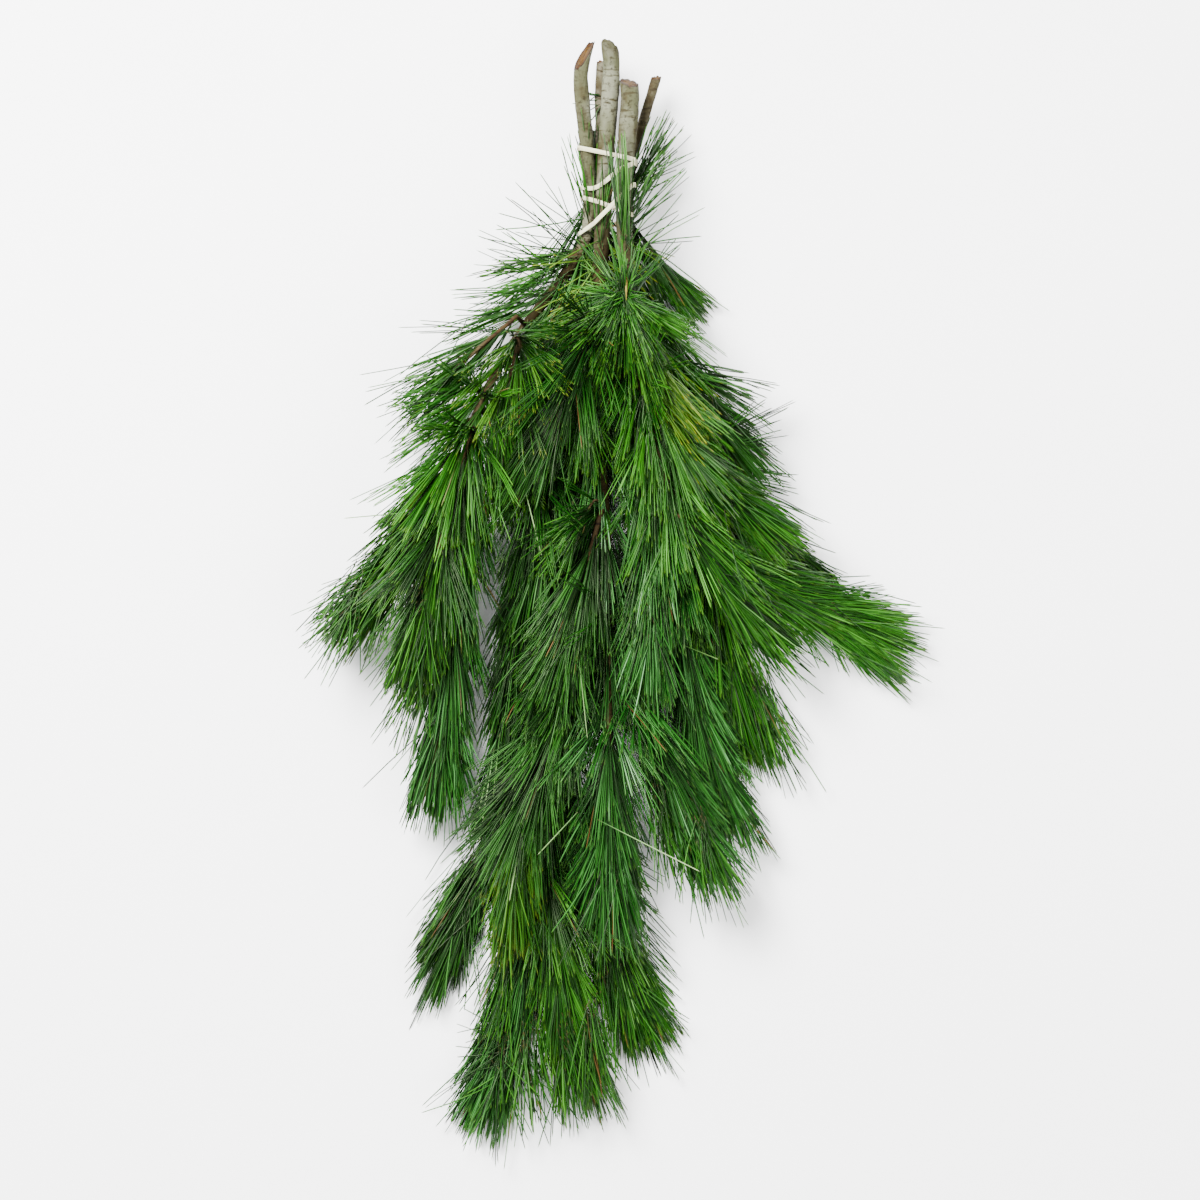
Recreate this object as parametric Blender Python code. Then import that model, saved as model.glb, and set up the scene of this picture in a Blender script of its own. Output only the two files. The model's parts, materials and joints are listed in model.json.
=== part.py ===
"""A tied bundle of cut pine boughs, lying on a flat surface.

Six cut stems come together at a neck, where a rubber band is wound round them, and their side
twigs fan out into brushes of long needles. The bundle is about 0.80 m long and 0.45 m wide.

Frame: metres, +Z up, the surface at z = 0, +Y towards the cut ends. The boughs are laid one by
one, the lowest first, and each piece is draped over the pile that is already there.
"""
import math
import random

import bmesh
import bpy
import numpy as np
from mathutils import Vector

MM = 0.001

# ---- driving dimensions, in millimetres ------------------------------------------------------

GAP = 0.3             # air between two pieces that touch
CLEARANCE = 0.7       # height kept between a draped piece and the pile below it
CELL = 1.5            # grain of the height map that the pieces are draped over
OVERCUT = 4.0         # length that a stem or twig is made too long before its end is cut
HEADING = 8.0         # distance to either side over which the direction of a route is taken
STATION = 8.0         # spacing of the heights along a stem, twig or brush
SLOPE = 0.42          # steepest rise or fall of a draped piece
DROOP = 0.22          # how fast an unsupported piece falls towards the surface
STAR_DROOP = 20.0     # how far the rim of the starburst may hang below its bud
FORK_AIR = 1.1        # air between a stem and the cut end of a twig that grows out of its side
SIDE_AIR = 2.0        # air between a stem and the twig beside it where the twig counts as clear
WIDE_FORK = 19.0      # a twig that gets clear within this distance grows out of the stem's side
TOP_FORK = 8.5        # a twig that does not starts on top of the stem, this far from the fork
SQUASH = 4.0          # how far a brush is pressed flat by the surface it lies on

CLOSE_ENOUGH = 0.02   # a piece lies well when no part of it has to rise by more than this
ROUNDS = 40           # most times that a piece is raised while it is draped
PILE_HALF = (260.0, 440.0)      # half of the ground that the pile may cover, (x, y)
GRAIN = 4             # triangles are sampled in a whole multiple of this many steps
FAR = 500.0           # well past the end of any route

STEM_SIDES = 10
TWIG_SIDES = 8
SMOOTH_BELOW = 50     # degrees: flatter edges of stems and twigs are shaded smooth
JOINED = 0.01         # points of a tube that are nearer than this are one point
SAW_ROOM = 3.0        # a stem is made longer than its slanting cut needs by this much
TWIG_SHARE = 0.62     # radius of a twig where it leaves its stem, over that of the stem
TWIG_TIP = 1.7        # radius of a twig where its brush begins
FORK_MARGIN = 1.0     # a twig is draped from this much nearer to its stem than it is clear of it
STEM_STEP = 36.0      # spacing of the rings of a stem
TWIG_STEP = 26.0      # spacing of the rings of a twig
BUD = 5.0             # half width of a brush where its twig enters it
SMALL_BRUSH = 14.5    # half width below which a brush has one tier of five locks
LONG_BRUSH = 170.0    # length above which a brush has three tiers of locks
LOCK = 0.11           # length of the free tip of a lock, over the length of its brush
LOCK_END = 2.0        # length over which a lock ends and the next tier comes out from under it
LAST_VALLEY = 0.84    # where the last locks part, over the length of the brush
TIERS = {"small": [0.50], "short": [0.34, 0.60], "long": [0.24, 0.44, 0.64]}   # over the length
LOCKS = {"small": 5, "short": 8, "long": 8}     # in each tier
WIDEN_SHARE = 0.6     # the most of its length over which a brush widens
BUD_SHARE = 0.5       # the most of its half width that it has where its twig enters it
SWELL = 0.7           # power of the widening: below 1 the shoulder is round
UNDERSIDE = -0.45     # locks with a lower sine of their angle are on the underside
RING_TURN = 0.4       # most that a brush's locks are turned round it
LOCK_JITTER = (0.7, 1.15)       # free tips of the locks, over LOCK
END_JITTER = (0.90, 1.0)        # ends of the last locks, over the length
# Half widths over the brush's own: at the tips of a tier, between them and on the underside,
# where the next tier comes out (seen and on the underside), and at the end.
TIP_SPREAD, BETWEEN_SPREAD, UNDER_SPREAD = 1.0, 0.78, 0.92
NEXT_SPREAD, NEXT_UNDER_SPREAD = 0.72, 0.86
END_SPREAD, END_VALLEY_SPREAD = (0.72, 1.02), 0.74
NEEDLE = 72.0         # length of a needle, in which a brush reaches its full width
FLATNESS = 0.38       # height of a brush over its width
SOFT_BED = 4.0        # height that a bough's own needles hold its stem above the pile
BED_TOP = 215.0       # the needles begin below this y: nearer the cut ends the stems are bare

BAND_TURNS = 4
BAND_RADIUS = 1.25
BAND_AIR = 0.9        # between the band and the stems, so that its straight parts clear them
BAND_SIDES = 6
BAND_POINTS = 16      # points of the band in each turn
BAND_FROM_END = 4.0   # the band stays this far below a stem's cut end
BAND_SLOPE_ROUNDS = 3           # how often the slope of a turn is fitted to where the band lies

# ---- the boughs ------------------------------------------------------------------------------
#
# neck:   the stem from its cut end through the band, (x, y, z)
# run:    the stem from there to its last brush, (x, y)
# joint_height: z of the stem where its last brush begins
# radii:  of the stem at its cut end and at its last brush
# cut:    the direction that the saw cut faces
# tip:    the last brush, which grows from the stem's own end
# shoots: the side brushes in the order in which they are laid: a letter, the place where the
#         shoot leaves the stem, the end of its bare twig (None where the needles start at the
#         stem), and its brush
# A brush is its route (x, y), its half width and a tone.

GREEN, DARK, YELLOW = "needles_green", "needles_dark", "needles_yellow_green"

BOUGHS = {
    "bough_3": {
        "neck": [(-14, 391, 33), (-15, 361, 32), (-13, 325, 30), (-9, 289, 29)],
        "run": [(-19, 217), (-33, 131), (-44, 30), (-51, -71), (-58, -157), (-63, -215)],
        "joint_height": 15,
        "radii": (4.0, 2.4),
        "cut": (-0.2, 0.9, 0.3),
        "tip": ([(-64, -219), (-77, -294), (-111, -397)], 30, GREEN),
        "shoots": [
            ("a", (-55, -115), (-19, -200), ([(-16, -206), (2, -265), (30, -338)], 31, GREEN)),
            ("b", (-60, -180), (-52, -199), ([(-50, -205), (-41, -287), (-20, -385)], 29, GREEN)),
            ("c", (-56, -128), (-91, -172), ([(-95, -178), (-116, -229), (-145, -292)], 26, DARK)),
        ],
    },
    "bough_6": {
        "neck": [(-19, 341, 29), (-20, 318, 28), (-18, 289, 26)],
        "run": [(-24, 240), (-40, 180), (-52, 131), (-60, 90)],
        "joint_height": 20,
        "radii": (2.6, 2.0),
        "cut": (0.0, 1.0, 0.2),
        "tip": ([(-60, 86), (-80, -64), (-92, -195)], 24, DARK),
        "shoots": [
            ("a", (-58, 103), (-47, -30), ([(-48, -38), (-55, -114), (-66, -184)], 30, DARK)),
        ],
    },
    "bough_5": {
        "neck": [(26, 379, 31), (17, 350, 31), (9, 325, 31), (6, 300, 30), (5, 285, 30)],
        "run": [(13, 231), (28, 181), (46, 123), (60, 59), (69, 3)],
        "joint_height": 17,
        "radii": (3.7, 2.4),
        "cut": (0.0, 0.9, 0.43),
        "tip": ([(70, -1), (83, -64), (103, -133)], 27, GREEN),
        "shoots": [
            ("a", (52, 98), (40, 36), ([(39, 30), (53, -71), (90, -190)], 30, DARK)),
            ("f", (49, 112), (10, -58), ([(11, -65), (40, -134), (84, -223)], 27, GREEN)),
            ("b", (50, 112), (64, 96), ([(69, 91), (107, 41), (165, 0)], 20, DARK)),
            ("c", (28, 181), (39, 170), ([(44, 165), (71, 123), (116, 69)], 24, DARK)),
            ("d", (14, 253), None, ([(20, 250), (38, 231), (62, 206)], 14, GREEN)),
            ("e", (7, 301), None, ([(14, 307), (25, 323), (39, 345)], 7, GREEN)),
        ],
    },
    "bough_1": {
        "neck": [(-30, 390, 37), (-27, 355, 36), (-23, 318, 34), (-22, 289, 33)],
        "run": [(-25, 257), (-48, 226), (-76, 191), (-97, 152), (-108, 120)],
        "joint_height": 22,
        "radii": (6.0, 2.6),
        "cut": (-0.55, 0.6, 0.5),
        "tip": ([(-109, 116), (-117, 20), (-135, -168)], 29, GREEN),
        "shoots": [
            ("b", (-91, 162), (-118, 108), ([(-121, 103), (-156, 30), (-212, -34)], 34, GREEN)),
            ("a", (-103, 138), (-127, 50), ([(-129, 43), (-142, -15), (-151, -75)], 24, GREEN)),
            ("c", (-70, 199), (-77, 172), ([(-77, 167), (-86, 120), (-82, 51)], 20, YELLOW)),
            ("d", (-66, 204), None, ([(-77, 203), (-116, 172), (-165, 120)], 26, GREEN)),
            ("e", (-27, 252), None, ([(-34, 250), (-58, 249), (-91, 252)], 19, YELLOW)),
        ],
    },
    "bough_2": {
        "neck": [(-6, 397, 45), (-7, 368, 45), (-10, 332, 44), (-12, 289, 43)],
        "run": [(-14, 253), (-17, 203), (-18, 145), (-12, 73), (-8, 1), (-9, -80)],
        "joint_height": 36,
        "radii": (6.7, 2.8),
        "cut": (0.25, 0.85, -0.5),
        "tip": ([(-9, -85), (-8, -165), (-13, -260)], 36, GREEN),
        "shoots": [
            ("a", (-8, 5), (-64, -132), ([(-67, -139), (-78, -200), (-74, -268)], 23, YELLOW)),
            ("b", (-18, 188), (8, 152), ([(11, 146), (25, 59), (14, -92)], 26, GREEN)),
            ("c", (-12, 78), (-19, 40), ([(-22, 34), (-40, -28), (-62, -90)], 34, GREEN)),
            ("d", (-18, 166), None, ([(-25, 157), (-26, 120), (-26, 84)], 19, GREEN)),
            ("e", (-17, 205), (-30, 172), ([(-33, 166), (-54, 116), (-77, 64)], 20, DARK)),
            ("f", (-12, 82), None, ([(-20, 72), (-36, 50), (-57, 21)], 17, GREEN)),
        ],
    },
    "bough_4": {
        "neck": [(8, 373, 45), (6, 347, 45), (3, 318, 44), (2, 289, 44)],
        "run": [(4, 246), (10, 195), (18, 145), (28, 102), (42, 62)],
        "joint_height": 46,
        "radii": (7.3, 3.0),
        "cut": (0.15, 0.92, 0.37),
        "tip": ([(45, 58), (118, 2), (226, -30)], 33, GREEN),
        "shoots": [
            ("a", (36, 78), None, ([(44, 62), (80, 2), (125, -41)], 22, GREEN)),
            ("b", (13, 172), (34, 119), ([(37, 116), (79, 74), (135, 30)], 24, GREEN)),
            ("c", (14, 182), None, ([(22, 173), (37, 149), (57, 118)], 15, YELLOW)),
        ],
    },
}

# The starburst is a short shoot on bough 4 that points up at the viewer. Its needles spread all
# round its bud: further down the bundle than to the sides.
STAR_CENTRE = (3, 219)
STAR_REACH = {"up": 62, "side": 50, "down": 92}
STAR_LOCKS = 9
STAR_RISE = 16
STAR_FOOT = 7.0       # radius of the foot that stands on the stem
STAR_WAIST = 0.42     # where the locks part, as a share of their reach
STAR_HEIGHT = 76.0    # least height of the foot, which stands on a short twig
STAR_STEP = 9.0       # how far one point of its rim may hang below the next
STAR_TWIG = [(4, 246), (4, 232)]
STAR_TWIG_RADIUS = 2.2
STAR_KNEE = 2.0       # radii below its end at which that twig stands upright
STAR_TURN = 0.15      # angle of the first lock
STAR_JITTER = (0.9, 1.0)        # tips of the locks, over their reach
STAR_VALLEY = 0.55    # where two locks part, over their reach
STAR_ROUNDS = 120     # most times that the starburst is raised while it is draped

# A few needles on bough 4 stand along the neck, over the band.
NECK_TUFT = ([(2, 262), (0, 300), (-3, 342)], 6, GREEN)
NECK_TUFT_HEIGHT = 46.0

# The band crosses the front of the neck four times: y at the left and right side of the neck.
BAND_FRONT = [(327, 318), (299, 316), (292, 279), (266, 300)]
BAND_BULGE = 3.2      # the last turn passes over the one before it by this much

COLOURS = {
    "bark": (0.27, 0.25, 0.19),
    "twig": (0.22, 0.13, 0.06),
    "needles_green": (0.06, 0.22, 0.03),
    "needles_dark": (0.02, 0.10, 0.02),
    "needles_yellow_green": (0.17, 0.30, 0.03),
    "rubber": (0.82, 0.80, 0.70),
}
ROUGHNESS = {"rubber": 0.45}
ROUGHNESS_OF_PLANTS = 0.7


# ---- routes ----------------------------------------------------------------------------------

def smooth_route(points, spacing=2.0):
    """Dense points of a Catmull-Rom curve through the given points."""
    p = np.array(points, dtype=float)
    padded = np.vstack([2 * p[0] - p[1], p, 2 * p[-1] - p[-2]])
    pieces = []
    for k in range(len(p) - 1):
        a, b, c, d = padded[k:k + 4]
        count = max(2, int(np.linalg.norm(c - b) / spacing))
        t = np.linspace(0.0, 1.0, count, endpoint=False)[:, None]
        pieces.append(0.5 * (2 * b + (c - a) * t + (2 * a - 5 * b + 4 * c - d) * t ** 2
                             + (3 * b - a - 3 * c + d) * t ** 3))
    return np.vstack(pieces + [p[-1:]])


def lengths_along(points):
    """Distance of each point from the first, along the route."""
    steps = np.linalg.norm(np.diff(points, axis=0), axis=1)
    return np.concatenate([[0.0], np.cumsum(steps)])


class Route:
    """A path over the surface, with a height at every station that draping can raise."""

    def __init__(self, points, heights):
        self.flat = smooth_route(points)
        self.reach = lengths_along(self.flat)
        self.length = self.reach[-1]
        self.stations = np.linspace(0.0, self.length, max(3, int(self.length / STATION)))
        self.heights = np.interp(self.stations, *heights)

    def nearest(self, point):
        """Distance along the route of the point nearest to (x, y)."""
        gaps = np.linalg.norm(self.flat - np.array(point, dtype=float), axis=1)
        return self.reach[int(np.argmin(gaps))]

    def centre(self, s):
        x = np.interp(s, self.reach, self.flat[:, 0])
        y = np.interp(s, self.reach, self.flat[:, 1])
        return np.stack([x, y, np.interp(s, self.stations, self.heights)], axis=-1)

    def forward(self, s):
        """Direction of travel at distance s."""
        ahead = self.centre(np.clip(s + HEADING, 0.0, self.length))
        behind = self.centre(np.clip(s - HEADING, 0.0, self.length))
        return (ahead - behind) / np.linalg.norm(ahead - behind, axis=-1, keepdims=True)

    def frame(self, s):
        """Centre, sideways direction and upward direction at distance s."""
        forward = self.forward(s)
        side = np.cross(forward, (0.0, 0.0, 1.0))
        side /= np.linalg.norm(side, axis=-1, keepdims=True)
        return self.centre(s), side, np.cross(side, forward)

    def upright(self, s):
        """Centre and level sideways direction at distance s, for shapes that don't tilt."""
        side = np.cross(self.forward(s) * (1.0, 1.0, 0.0), (0.0, 0.0, 1.0))
        return self.centre(s), side / np.linalg.norm(side, axis=-1, keepdims=True)

    def owner(self, s):
        """The station that carries a point at distance s."""
        return np.rint(np.interp(s, self.stations, np.arange(len(self.stations)))).astype(int)


# ---- lofted shapes ---------------------------------------------------------------------------

def loft(rings, apex=None):
    """Triangles over rings of equal count, closed by a fan or by a point at the far end."""
    count = len(rings[0])
    verts = np.vstack(rings if apex is None else rings + [apex[None, :]])
    faces = []
    for k in range(len(rings) - 1):
        low, high = k * count, (k + 1) * count
        for i in range(count):
            j = (i + 1) % count
            if i % 2 == 0:
                faces += [(low + i, low + j, high + j), (low + i, high + j, high + i)]
            else:
                faces += [(low + i, low + j, high + i), (low + j, high + j, high + i)]
    faces += [(0, i + 1, i) for i in range(1, count - 1)]
    last = (len(rings) - 1) * count
    if apex is None:
        faces += [(last, last + i, last + i + 1) for i in range(1, count - 1)]
    else:
        top = len(verts) - 1
        faces += [(last + i, last + (i + 1) % count, top) for i in range(count)]
    return verts, np.array(faces)[:, ::-1]


def tube(route, start, end, radius, sides=STEM_SIDES):
    """A round stem or twig along a route: its mesh and the station that carries each vertex."""
    s = np.linspace(start, end, max(2, int((end - start) / STATION)))
    angle = np.arange(sides) * math.tau / sides
    centre, side, up = route.frame(s)
    r = np.interp(s, [start, end], radius)[:, None, None]
    ring = side[:, None] * np.cos(angle)[:, None] + up[:, None] * np.sin(angle)[:, None]
    rings = centre[:, None] + r * ring
    verts, faces = loft(list(rings))
    return verts, faces, np.repeat(route.owner(s), sides)


def brush(route, start, half_width, seed):
    """A brush of needles: rings of pointed locks in tiers, and a ragged end.

    Every ring has two points for each lock. The even points are the tips of the locks in one
    tier, and the odd points in the next, so that the tiers are staggered.
    """
    rng = random.Random(seed)
    length = route.length - start
    kind = "small" if half_width < SMALL_BRUSH else "long" if length > LONG_BRUSH else "short"
    tiers = TIERS[kind]
    count = 2 * LOCKS[kind]
    angle = np.arange(count) * math.tau / count + rng.uniform(0.0, RING_TURN)
    below = np.sin(angle) < UNDERSIDE
    widen = min(NEEDLE, WIDEN_SHARE * length)
    bud = min(BUD, BUD_SHARE * half_width)
    knots = start + length * np.array([0.0] + tiers + [LAST_VALLEY, 1.0])
    spine = route.centre(knots)[:, 2]

    def width(s):
        return bud + (half_width - bud) * np.clip(s / widen, 0.0, 1.0) ** SWELL

    def ring(s, spread):
        centre, side = route.upright(start + s)
        across = spread * width(s)
        points = centre + side * (across * np.cos(angle))[:, None]
        points[:, 2] = np.interp(start + s, knots, spine) + across * FLATNESS * np.sin(angle)
        return points

    rings = [ring(np.zeros(count), np.ones(count))]
    along = [np.zeros(count)]
    for k, tier in enumerate(tiers):
        tips = np.arange(count) % 2 == k % 2
        jitter = np.array([rng.uniform(*LOCK_JITTER) for _ in range(count)])
        s = length * (tier + np.where(tips & ~below, LOCK * jitter, 0.0))
        spread = np.where(tips, TIP_SPREAD, BETWEEN_SPREAD)
        rings.append(ring(s, np.where(below, UNDER_SPREAD, spread)))
        along.append(s)
        s = s + LOCK_END
        rings.append(ring(s, np.where(below, NEXT_UNDER_SPREAD, NEXT_SPREAD)))
        along.append(s)
    tips = np.arange(count) % 2 == len(tiers) % 2
    jitter = np.array([rng.uniform(*END_JITTER) for _ in range(count)])
    spread = np.array([rng.uniform(*END_SPREAD) for _ in range(count)])
    s = length * np.where(tips, jitter, LAST_VALLEY)
    rings.append(ring(s, np.where(tips, spread, END_VALLEY_SPREAD)))
    along.append(s)
    inner = np.array([length * LAST_VALLEY])
    along.append(inner)
    apex = route.centre(start + inner)[0]
    apex[2] = spine[-2]
    verts, faces = loft(rings, apex)
    nearest = np.abs(start + np.concatenate(along)[:, None] - knots).argmin(axis=1)
    return verts, faces, route.owner(knots)[nearest]


# ---- the pile --------------------------------------------------------------------------------

class Pile:
    """Height map of what has been laid so far."""

    def __init__(self):
        self.origin = -np.array(PILE_HALF)
        shape = (int(2 * PILE_HALF[0] / CELL), int(2 * PILE_HALF[1] / CELL))
        self.top = np.full(shape, -SQUASH - CLEARANCE)

    def cells(self, points):
        index = ((points[:, :2] - self.origin) / CELL).astype(int)
        return index[:, 0], index[:, 1]

    def add(self, verts, faces):
        points, _ = surface_points(verts, faces)
        np.maximum.at(self.top, self.cells(points), points[:, 2])

    def spread_top(self):
        """The map with every cell raised to its highest neighbour."""
        wide = self.top.copy()
        for dx in (-1, 0, 1):
            for dy in (-1, 0, 1):
                wide = np.maximum(wide, np.roll(self.top, (dx, dy), axis=(0, 1)))
        return wide


def surface_points(verts, faces):
    """Points spread over the triangles at about the grain of the pile, and their triangles."""
    corner = verts[faces]
    edges = np.linalg.norm(corner - np.roll(corner, 1, axis=1), axis=2).max(axis=1)
    steps = np.maximum(1, np.ceil(edges / CELL / GRAIN) * GRAIN).astype(int)
    points, owners = [], []
    for n in np.unique(steps):
        grid = np.array([(i, j, n - i - j) for i in range(n + 1) for j in range(n + 1 - i)]) / n
        chosen = np.flatnonzero(steps == n)
        points.append(np.einsum("gk,fkx->fgx", grid, corner[chosen]).reshape(-1, 3))
        owners.append(np.repeat(chosen, len(grid)))
    return np.vstack(points), np.concatenate(owners)


def ease(heights, spacing, held):
    """Raise heights so that none is further below its neighbour than the slope allows.

    The first station is held where it is when the route grows from a stem.
    """
    drop = SLOPE * spacing
    for k in range(1, len(heights)):
        heights[k] = max(heights[k], heights[k - 1] - drop)
    for k in range(len(heights) - 2, 0 if held else -1, -1):
        heights[k] = max(heights[k], heights[k + 1] - drop)


def drape(route, shapes, pile, fork=None, bed=0.0):
    """Raise a route until the shapes built along it clear the pile."""
    top = pile.spread_top()
    spacing = route.stations[1] - route.stations[0]
    for _ in range(ROUNDS):
        lift = np.zeros(len(route.heights))
        for shape, soft in shapes:
            verts, faces, owner = shape()
            points, tri = surface_points(verts, faces)
            need = top[pile.cells(points)] + CLEARANCE - points[:, 2]
            if soft:
                need += bed * (points[:, 1] < BED_TOP)
            if fork is not None:
                centre, radius = fork
                need[np.linalg.norm(points[:, :2] - centre, axis=1) < radius] = 0.0
            for k in range(3):
                np.maximum.at(lift, owner[faces[tri, k]], need)
        if fork is not None:
            lift[0] = 0.0
        if lift.max() < CLOSE_ENOUGH:
            return
        route.heights += lift
        ease(route.heights, spacing, fork is not None)


# ---- Blender objects -------------------------------------------------------------------------

def clear_scene():
    for item in list(bpy.data.objects):
        bpy.data.objects.remove(item, do_unlink=True)


def material(name):
    """The finish of a kind of piece, made once."""
    found = bpy.data.materials.get(name)
    if found:
        return found
    made = bpy.data.materials.new(name)
    made.use_nodes = True
    shader = made.node_tree.nodes["Principled BSDF"]
    shader.inputs["Base Color"].default_value = (*COLOURS[name], 1.0)
    shader.inputs["Roughness"].default_value = ROUGHNESS.get(name, ROUGHNESS_OF_PLANTS)
    shader.inputs["Metallic"].default_value = 0.0
    return made


def add_object(name, mesh, finish, collection):
    mesh.materials.append(material(finish))
    item = bpy.data.objects.new(name, mesh)
    collection.objects.link(item)
    return item


def add_brush(name, shape, finish, collection):
    """A brush as an object, pressed flat where it lies on the surface."""
    verts, faces, _ = shape
    verts = verts.copy()
    verts[:, 2] = np.maximum(verts[:, 2], 0.0)
    mesh = bpy.data.meshes.new(name)
    mesh.from_pydata((verts * MM).tolist(), [], faces.tolist())
    mesh.update()
    return add_object(name, mesh, finish, collection)


def add_tube(name, points, radii, sides, finish, collection, cyclic=False):
    """A stem, twig or band: a bevelled curve with filled caps, made a closed mesh."""
    curve = bpy.data.curves.new(name, "CURVE")
    curve.dimensions = "3D"
    curve.bevel_depth = MM
    curve.bevel_resolution = (sides - 4) // 2
    curve.use_fill_caps = not cyclic
    spline = curve.splines.new("POLY")
    spline.points.add(len(points) - 1)
    for point, place, radius in zip(spline.points, points, radii):
        point.co = (*(place * MM), 1.0)
        point.radius = radius
    spline.use_cyclic_u = cyclic
    guide = bpy.data.objects.new(name + "_curve", curve)
    collection.objects.link(guide)
    bpy.context.view_layer.update()
    shown = guide.evaluated_get(bpy.context.evaluated_depsgraph_get())
    mesh = bpy.data.meshes.new_from_object(shown)
    bpy.data.objects.remove(guide, do_unlink=True)
    shape = bmesh.new()
    shape.from_mesh(mesh)
    bmesh.ops.remove_doubles(shape, verts=shape.verts, dist=JOINED * MM)
    bmesh.ops.recalc_face_normals(shape, faces=shape.faces)
    shape.to_mesh(mesh)
    shape.free()
    mesh.materials.clear()
    item = add_object(name, mesh, finish, collection)
    mesh.shade_smooth()
    mesh.set_sharp_from_angle(angle=math.radians(SMOOTH_BELOW))
    return item


def cut_off(item, point, normal):
    """Saw a stem or twig near a point, drop what lies beyond the cut and close it."""
    mesh = item.data
    shape = bmesh.new()
    shape.from_mesh(mesh)
    place = Vector(point) * MM
    faces = [f for f in shape.faces if (f.calc_center_median() - place).length < TWIG_STEP * MM]
    nearby = faces + list({e for f in faces for e in f.edges} | {v for f in faces for v in f.verts})
    cut = bmesh.ops.bisect_plane(shape, geom=nearby, plane_co=place,
                                 plane_no=Vector(normal), clear_outer=True)
    rim = [e for e in cut["geom_cut"] if isinstance(e, bmesh.types.BMEdge)]
    bmesh.ops.holes_fill(shape, edges=rim)
    shape.to_mesh(mesh)
    shape.free()
    mesh.set_sharp_from_angle(angle=math.radians(SMOOTH_BELOW))


# ---- building the bundle ---------------------------------------------------------------------

def cut_from_stem(item, root, towards, along, stem_radius):
    """Cut the near end of a twig where it comes out of its stem, towards a point on the twig."""
    away, along = Vector(towards - root), Vector(along)
    away = (away - along * away.dot(along)).normalized()
    cut_off(item, Vector(root) + away * (stem_radius + FORK_AIR), -away)


def falling(start, length, floor):
    """Heights of a piece that leaves a stem at one height and droops towards the surface."""
    fall = min(length, max(1.0, (start - floor) / DROOP))
    return [0.0, fall, length + 1.0], [start, min(start, floor), min(start, floor)]


def uncut_end(bough, facing):
    """Where a stem would end before it is sawn: far enough out for a slanting cut to clear it."""
    first, second = (np.array(p, dtype=float) for p in bough["neck"][:2])
    outward = (first - second) / np.linalg.norm(first - second)
    slant = math.sqrt(1.0 - facing.y ** 2) / facing.y
    return first + outward * (bough["radii"][0] * slant + SAW_ROOM)


def route_of_bough(bough, facing, brush_route, half_width):
    """The route of a stem and its last brush, at its neck's heights and then drooping."""
    neck = [tuple(uncut_end(bough, facing))] + bough["neck"]
    route = Route([p[:2] for p in neck] + bough["run"] + brush_route[1:], ([0.0, 1.0], [0.0, 0.0]))
    joint = route.nearest(brush_route[0])
    floor = half_width * FLATNESS - SQUASH
    fall = max(1.0, (bough["joint_height"] - floor) / DROOP)
    s = [route.nearest(p[:2]) for p in neck] + [joint, joint + fall, route.length + FAR]
    z = [p[2] for p in neck] + [bough["joint_height"], floor, floor]
    route.heights = np.interp(route.stations, s, z)
    return route, joint


def ring_places(start, end, step):
    """Where the rings of a tube go: evenly to its end, and one past it to be cut off."""
    even = np.linspace(start, end, max(2, int(round((end - start) / step)) + 1))
    return np.append(even, end + OVERCUT)


def end_at_brush(item, route, joint):
    """Cut the far end of a stem or twig upright, against the brush that it carries."""
    cut_off(item, route.centre(joint), Vector(route.forward(joint + GAP) * (1.0, 1.0, 0.0)))


def lay_stem(name, bough, pile, collection):
    """Lay a bough's stem with the brush at its end, and saw the cut end."""
    points, half_width, tone = bough["tip"]
    facing = Vector(bough["cut"]).normalized()
    route, joint = route_of_bough(bough, facing, points, half_width)
    radii = bough["radii"]
    seed = name + "_needles_tip"

    def stem():
        return tube(route, 0.0, joint, radii)

    def needles():
        return brush(route, joint + GAP, half_width, seed)

    drape(route, [(stem, True), (needles, False)], pile, bed=SOFT_BED)
    s = ring_places(0.0, joint, STEM_STEP)
    centres = route.centre(s)
    item = add_tube(name + "_stem", centres, np.interp(s, [0.0, joint], radii), STEM_SIDES,
                    "bark", collection)
    cut_off(item, route.centre(route.nearest(bough["neck"][0][:2])), facing)
    end_at_brush(item, route, joint)
    add_brush(name + "_needles_tip", needles(), tone, collection)
    pile.add(*stem()[:2])
    pile.add(*needles()[:2])
    return route, joint


def fork_reach(stem_route, s_fork, route, radii):
    """How far from its fork a shoot has to lie clear of its stem and of everything else.

    A shoot that leaves at a wide angle grows out of the side of the stem. One that leaves almost
    along the stem grows out of the top, and runs above it until the two part.
    """
    along, out = stem_route.forward(s_fork)[:2], route.forward(0.0)[:2]
    spread = abs(along[0] * out[1] - along[1] * out[0])
    reach = (sum(radii) + SIDE_AIR) / max(spread, 0.01)
    return (reach, True) if reach < WIDE_FORK else (TOP_FORK, False)


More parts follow.
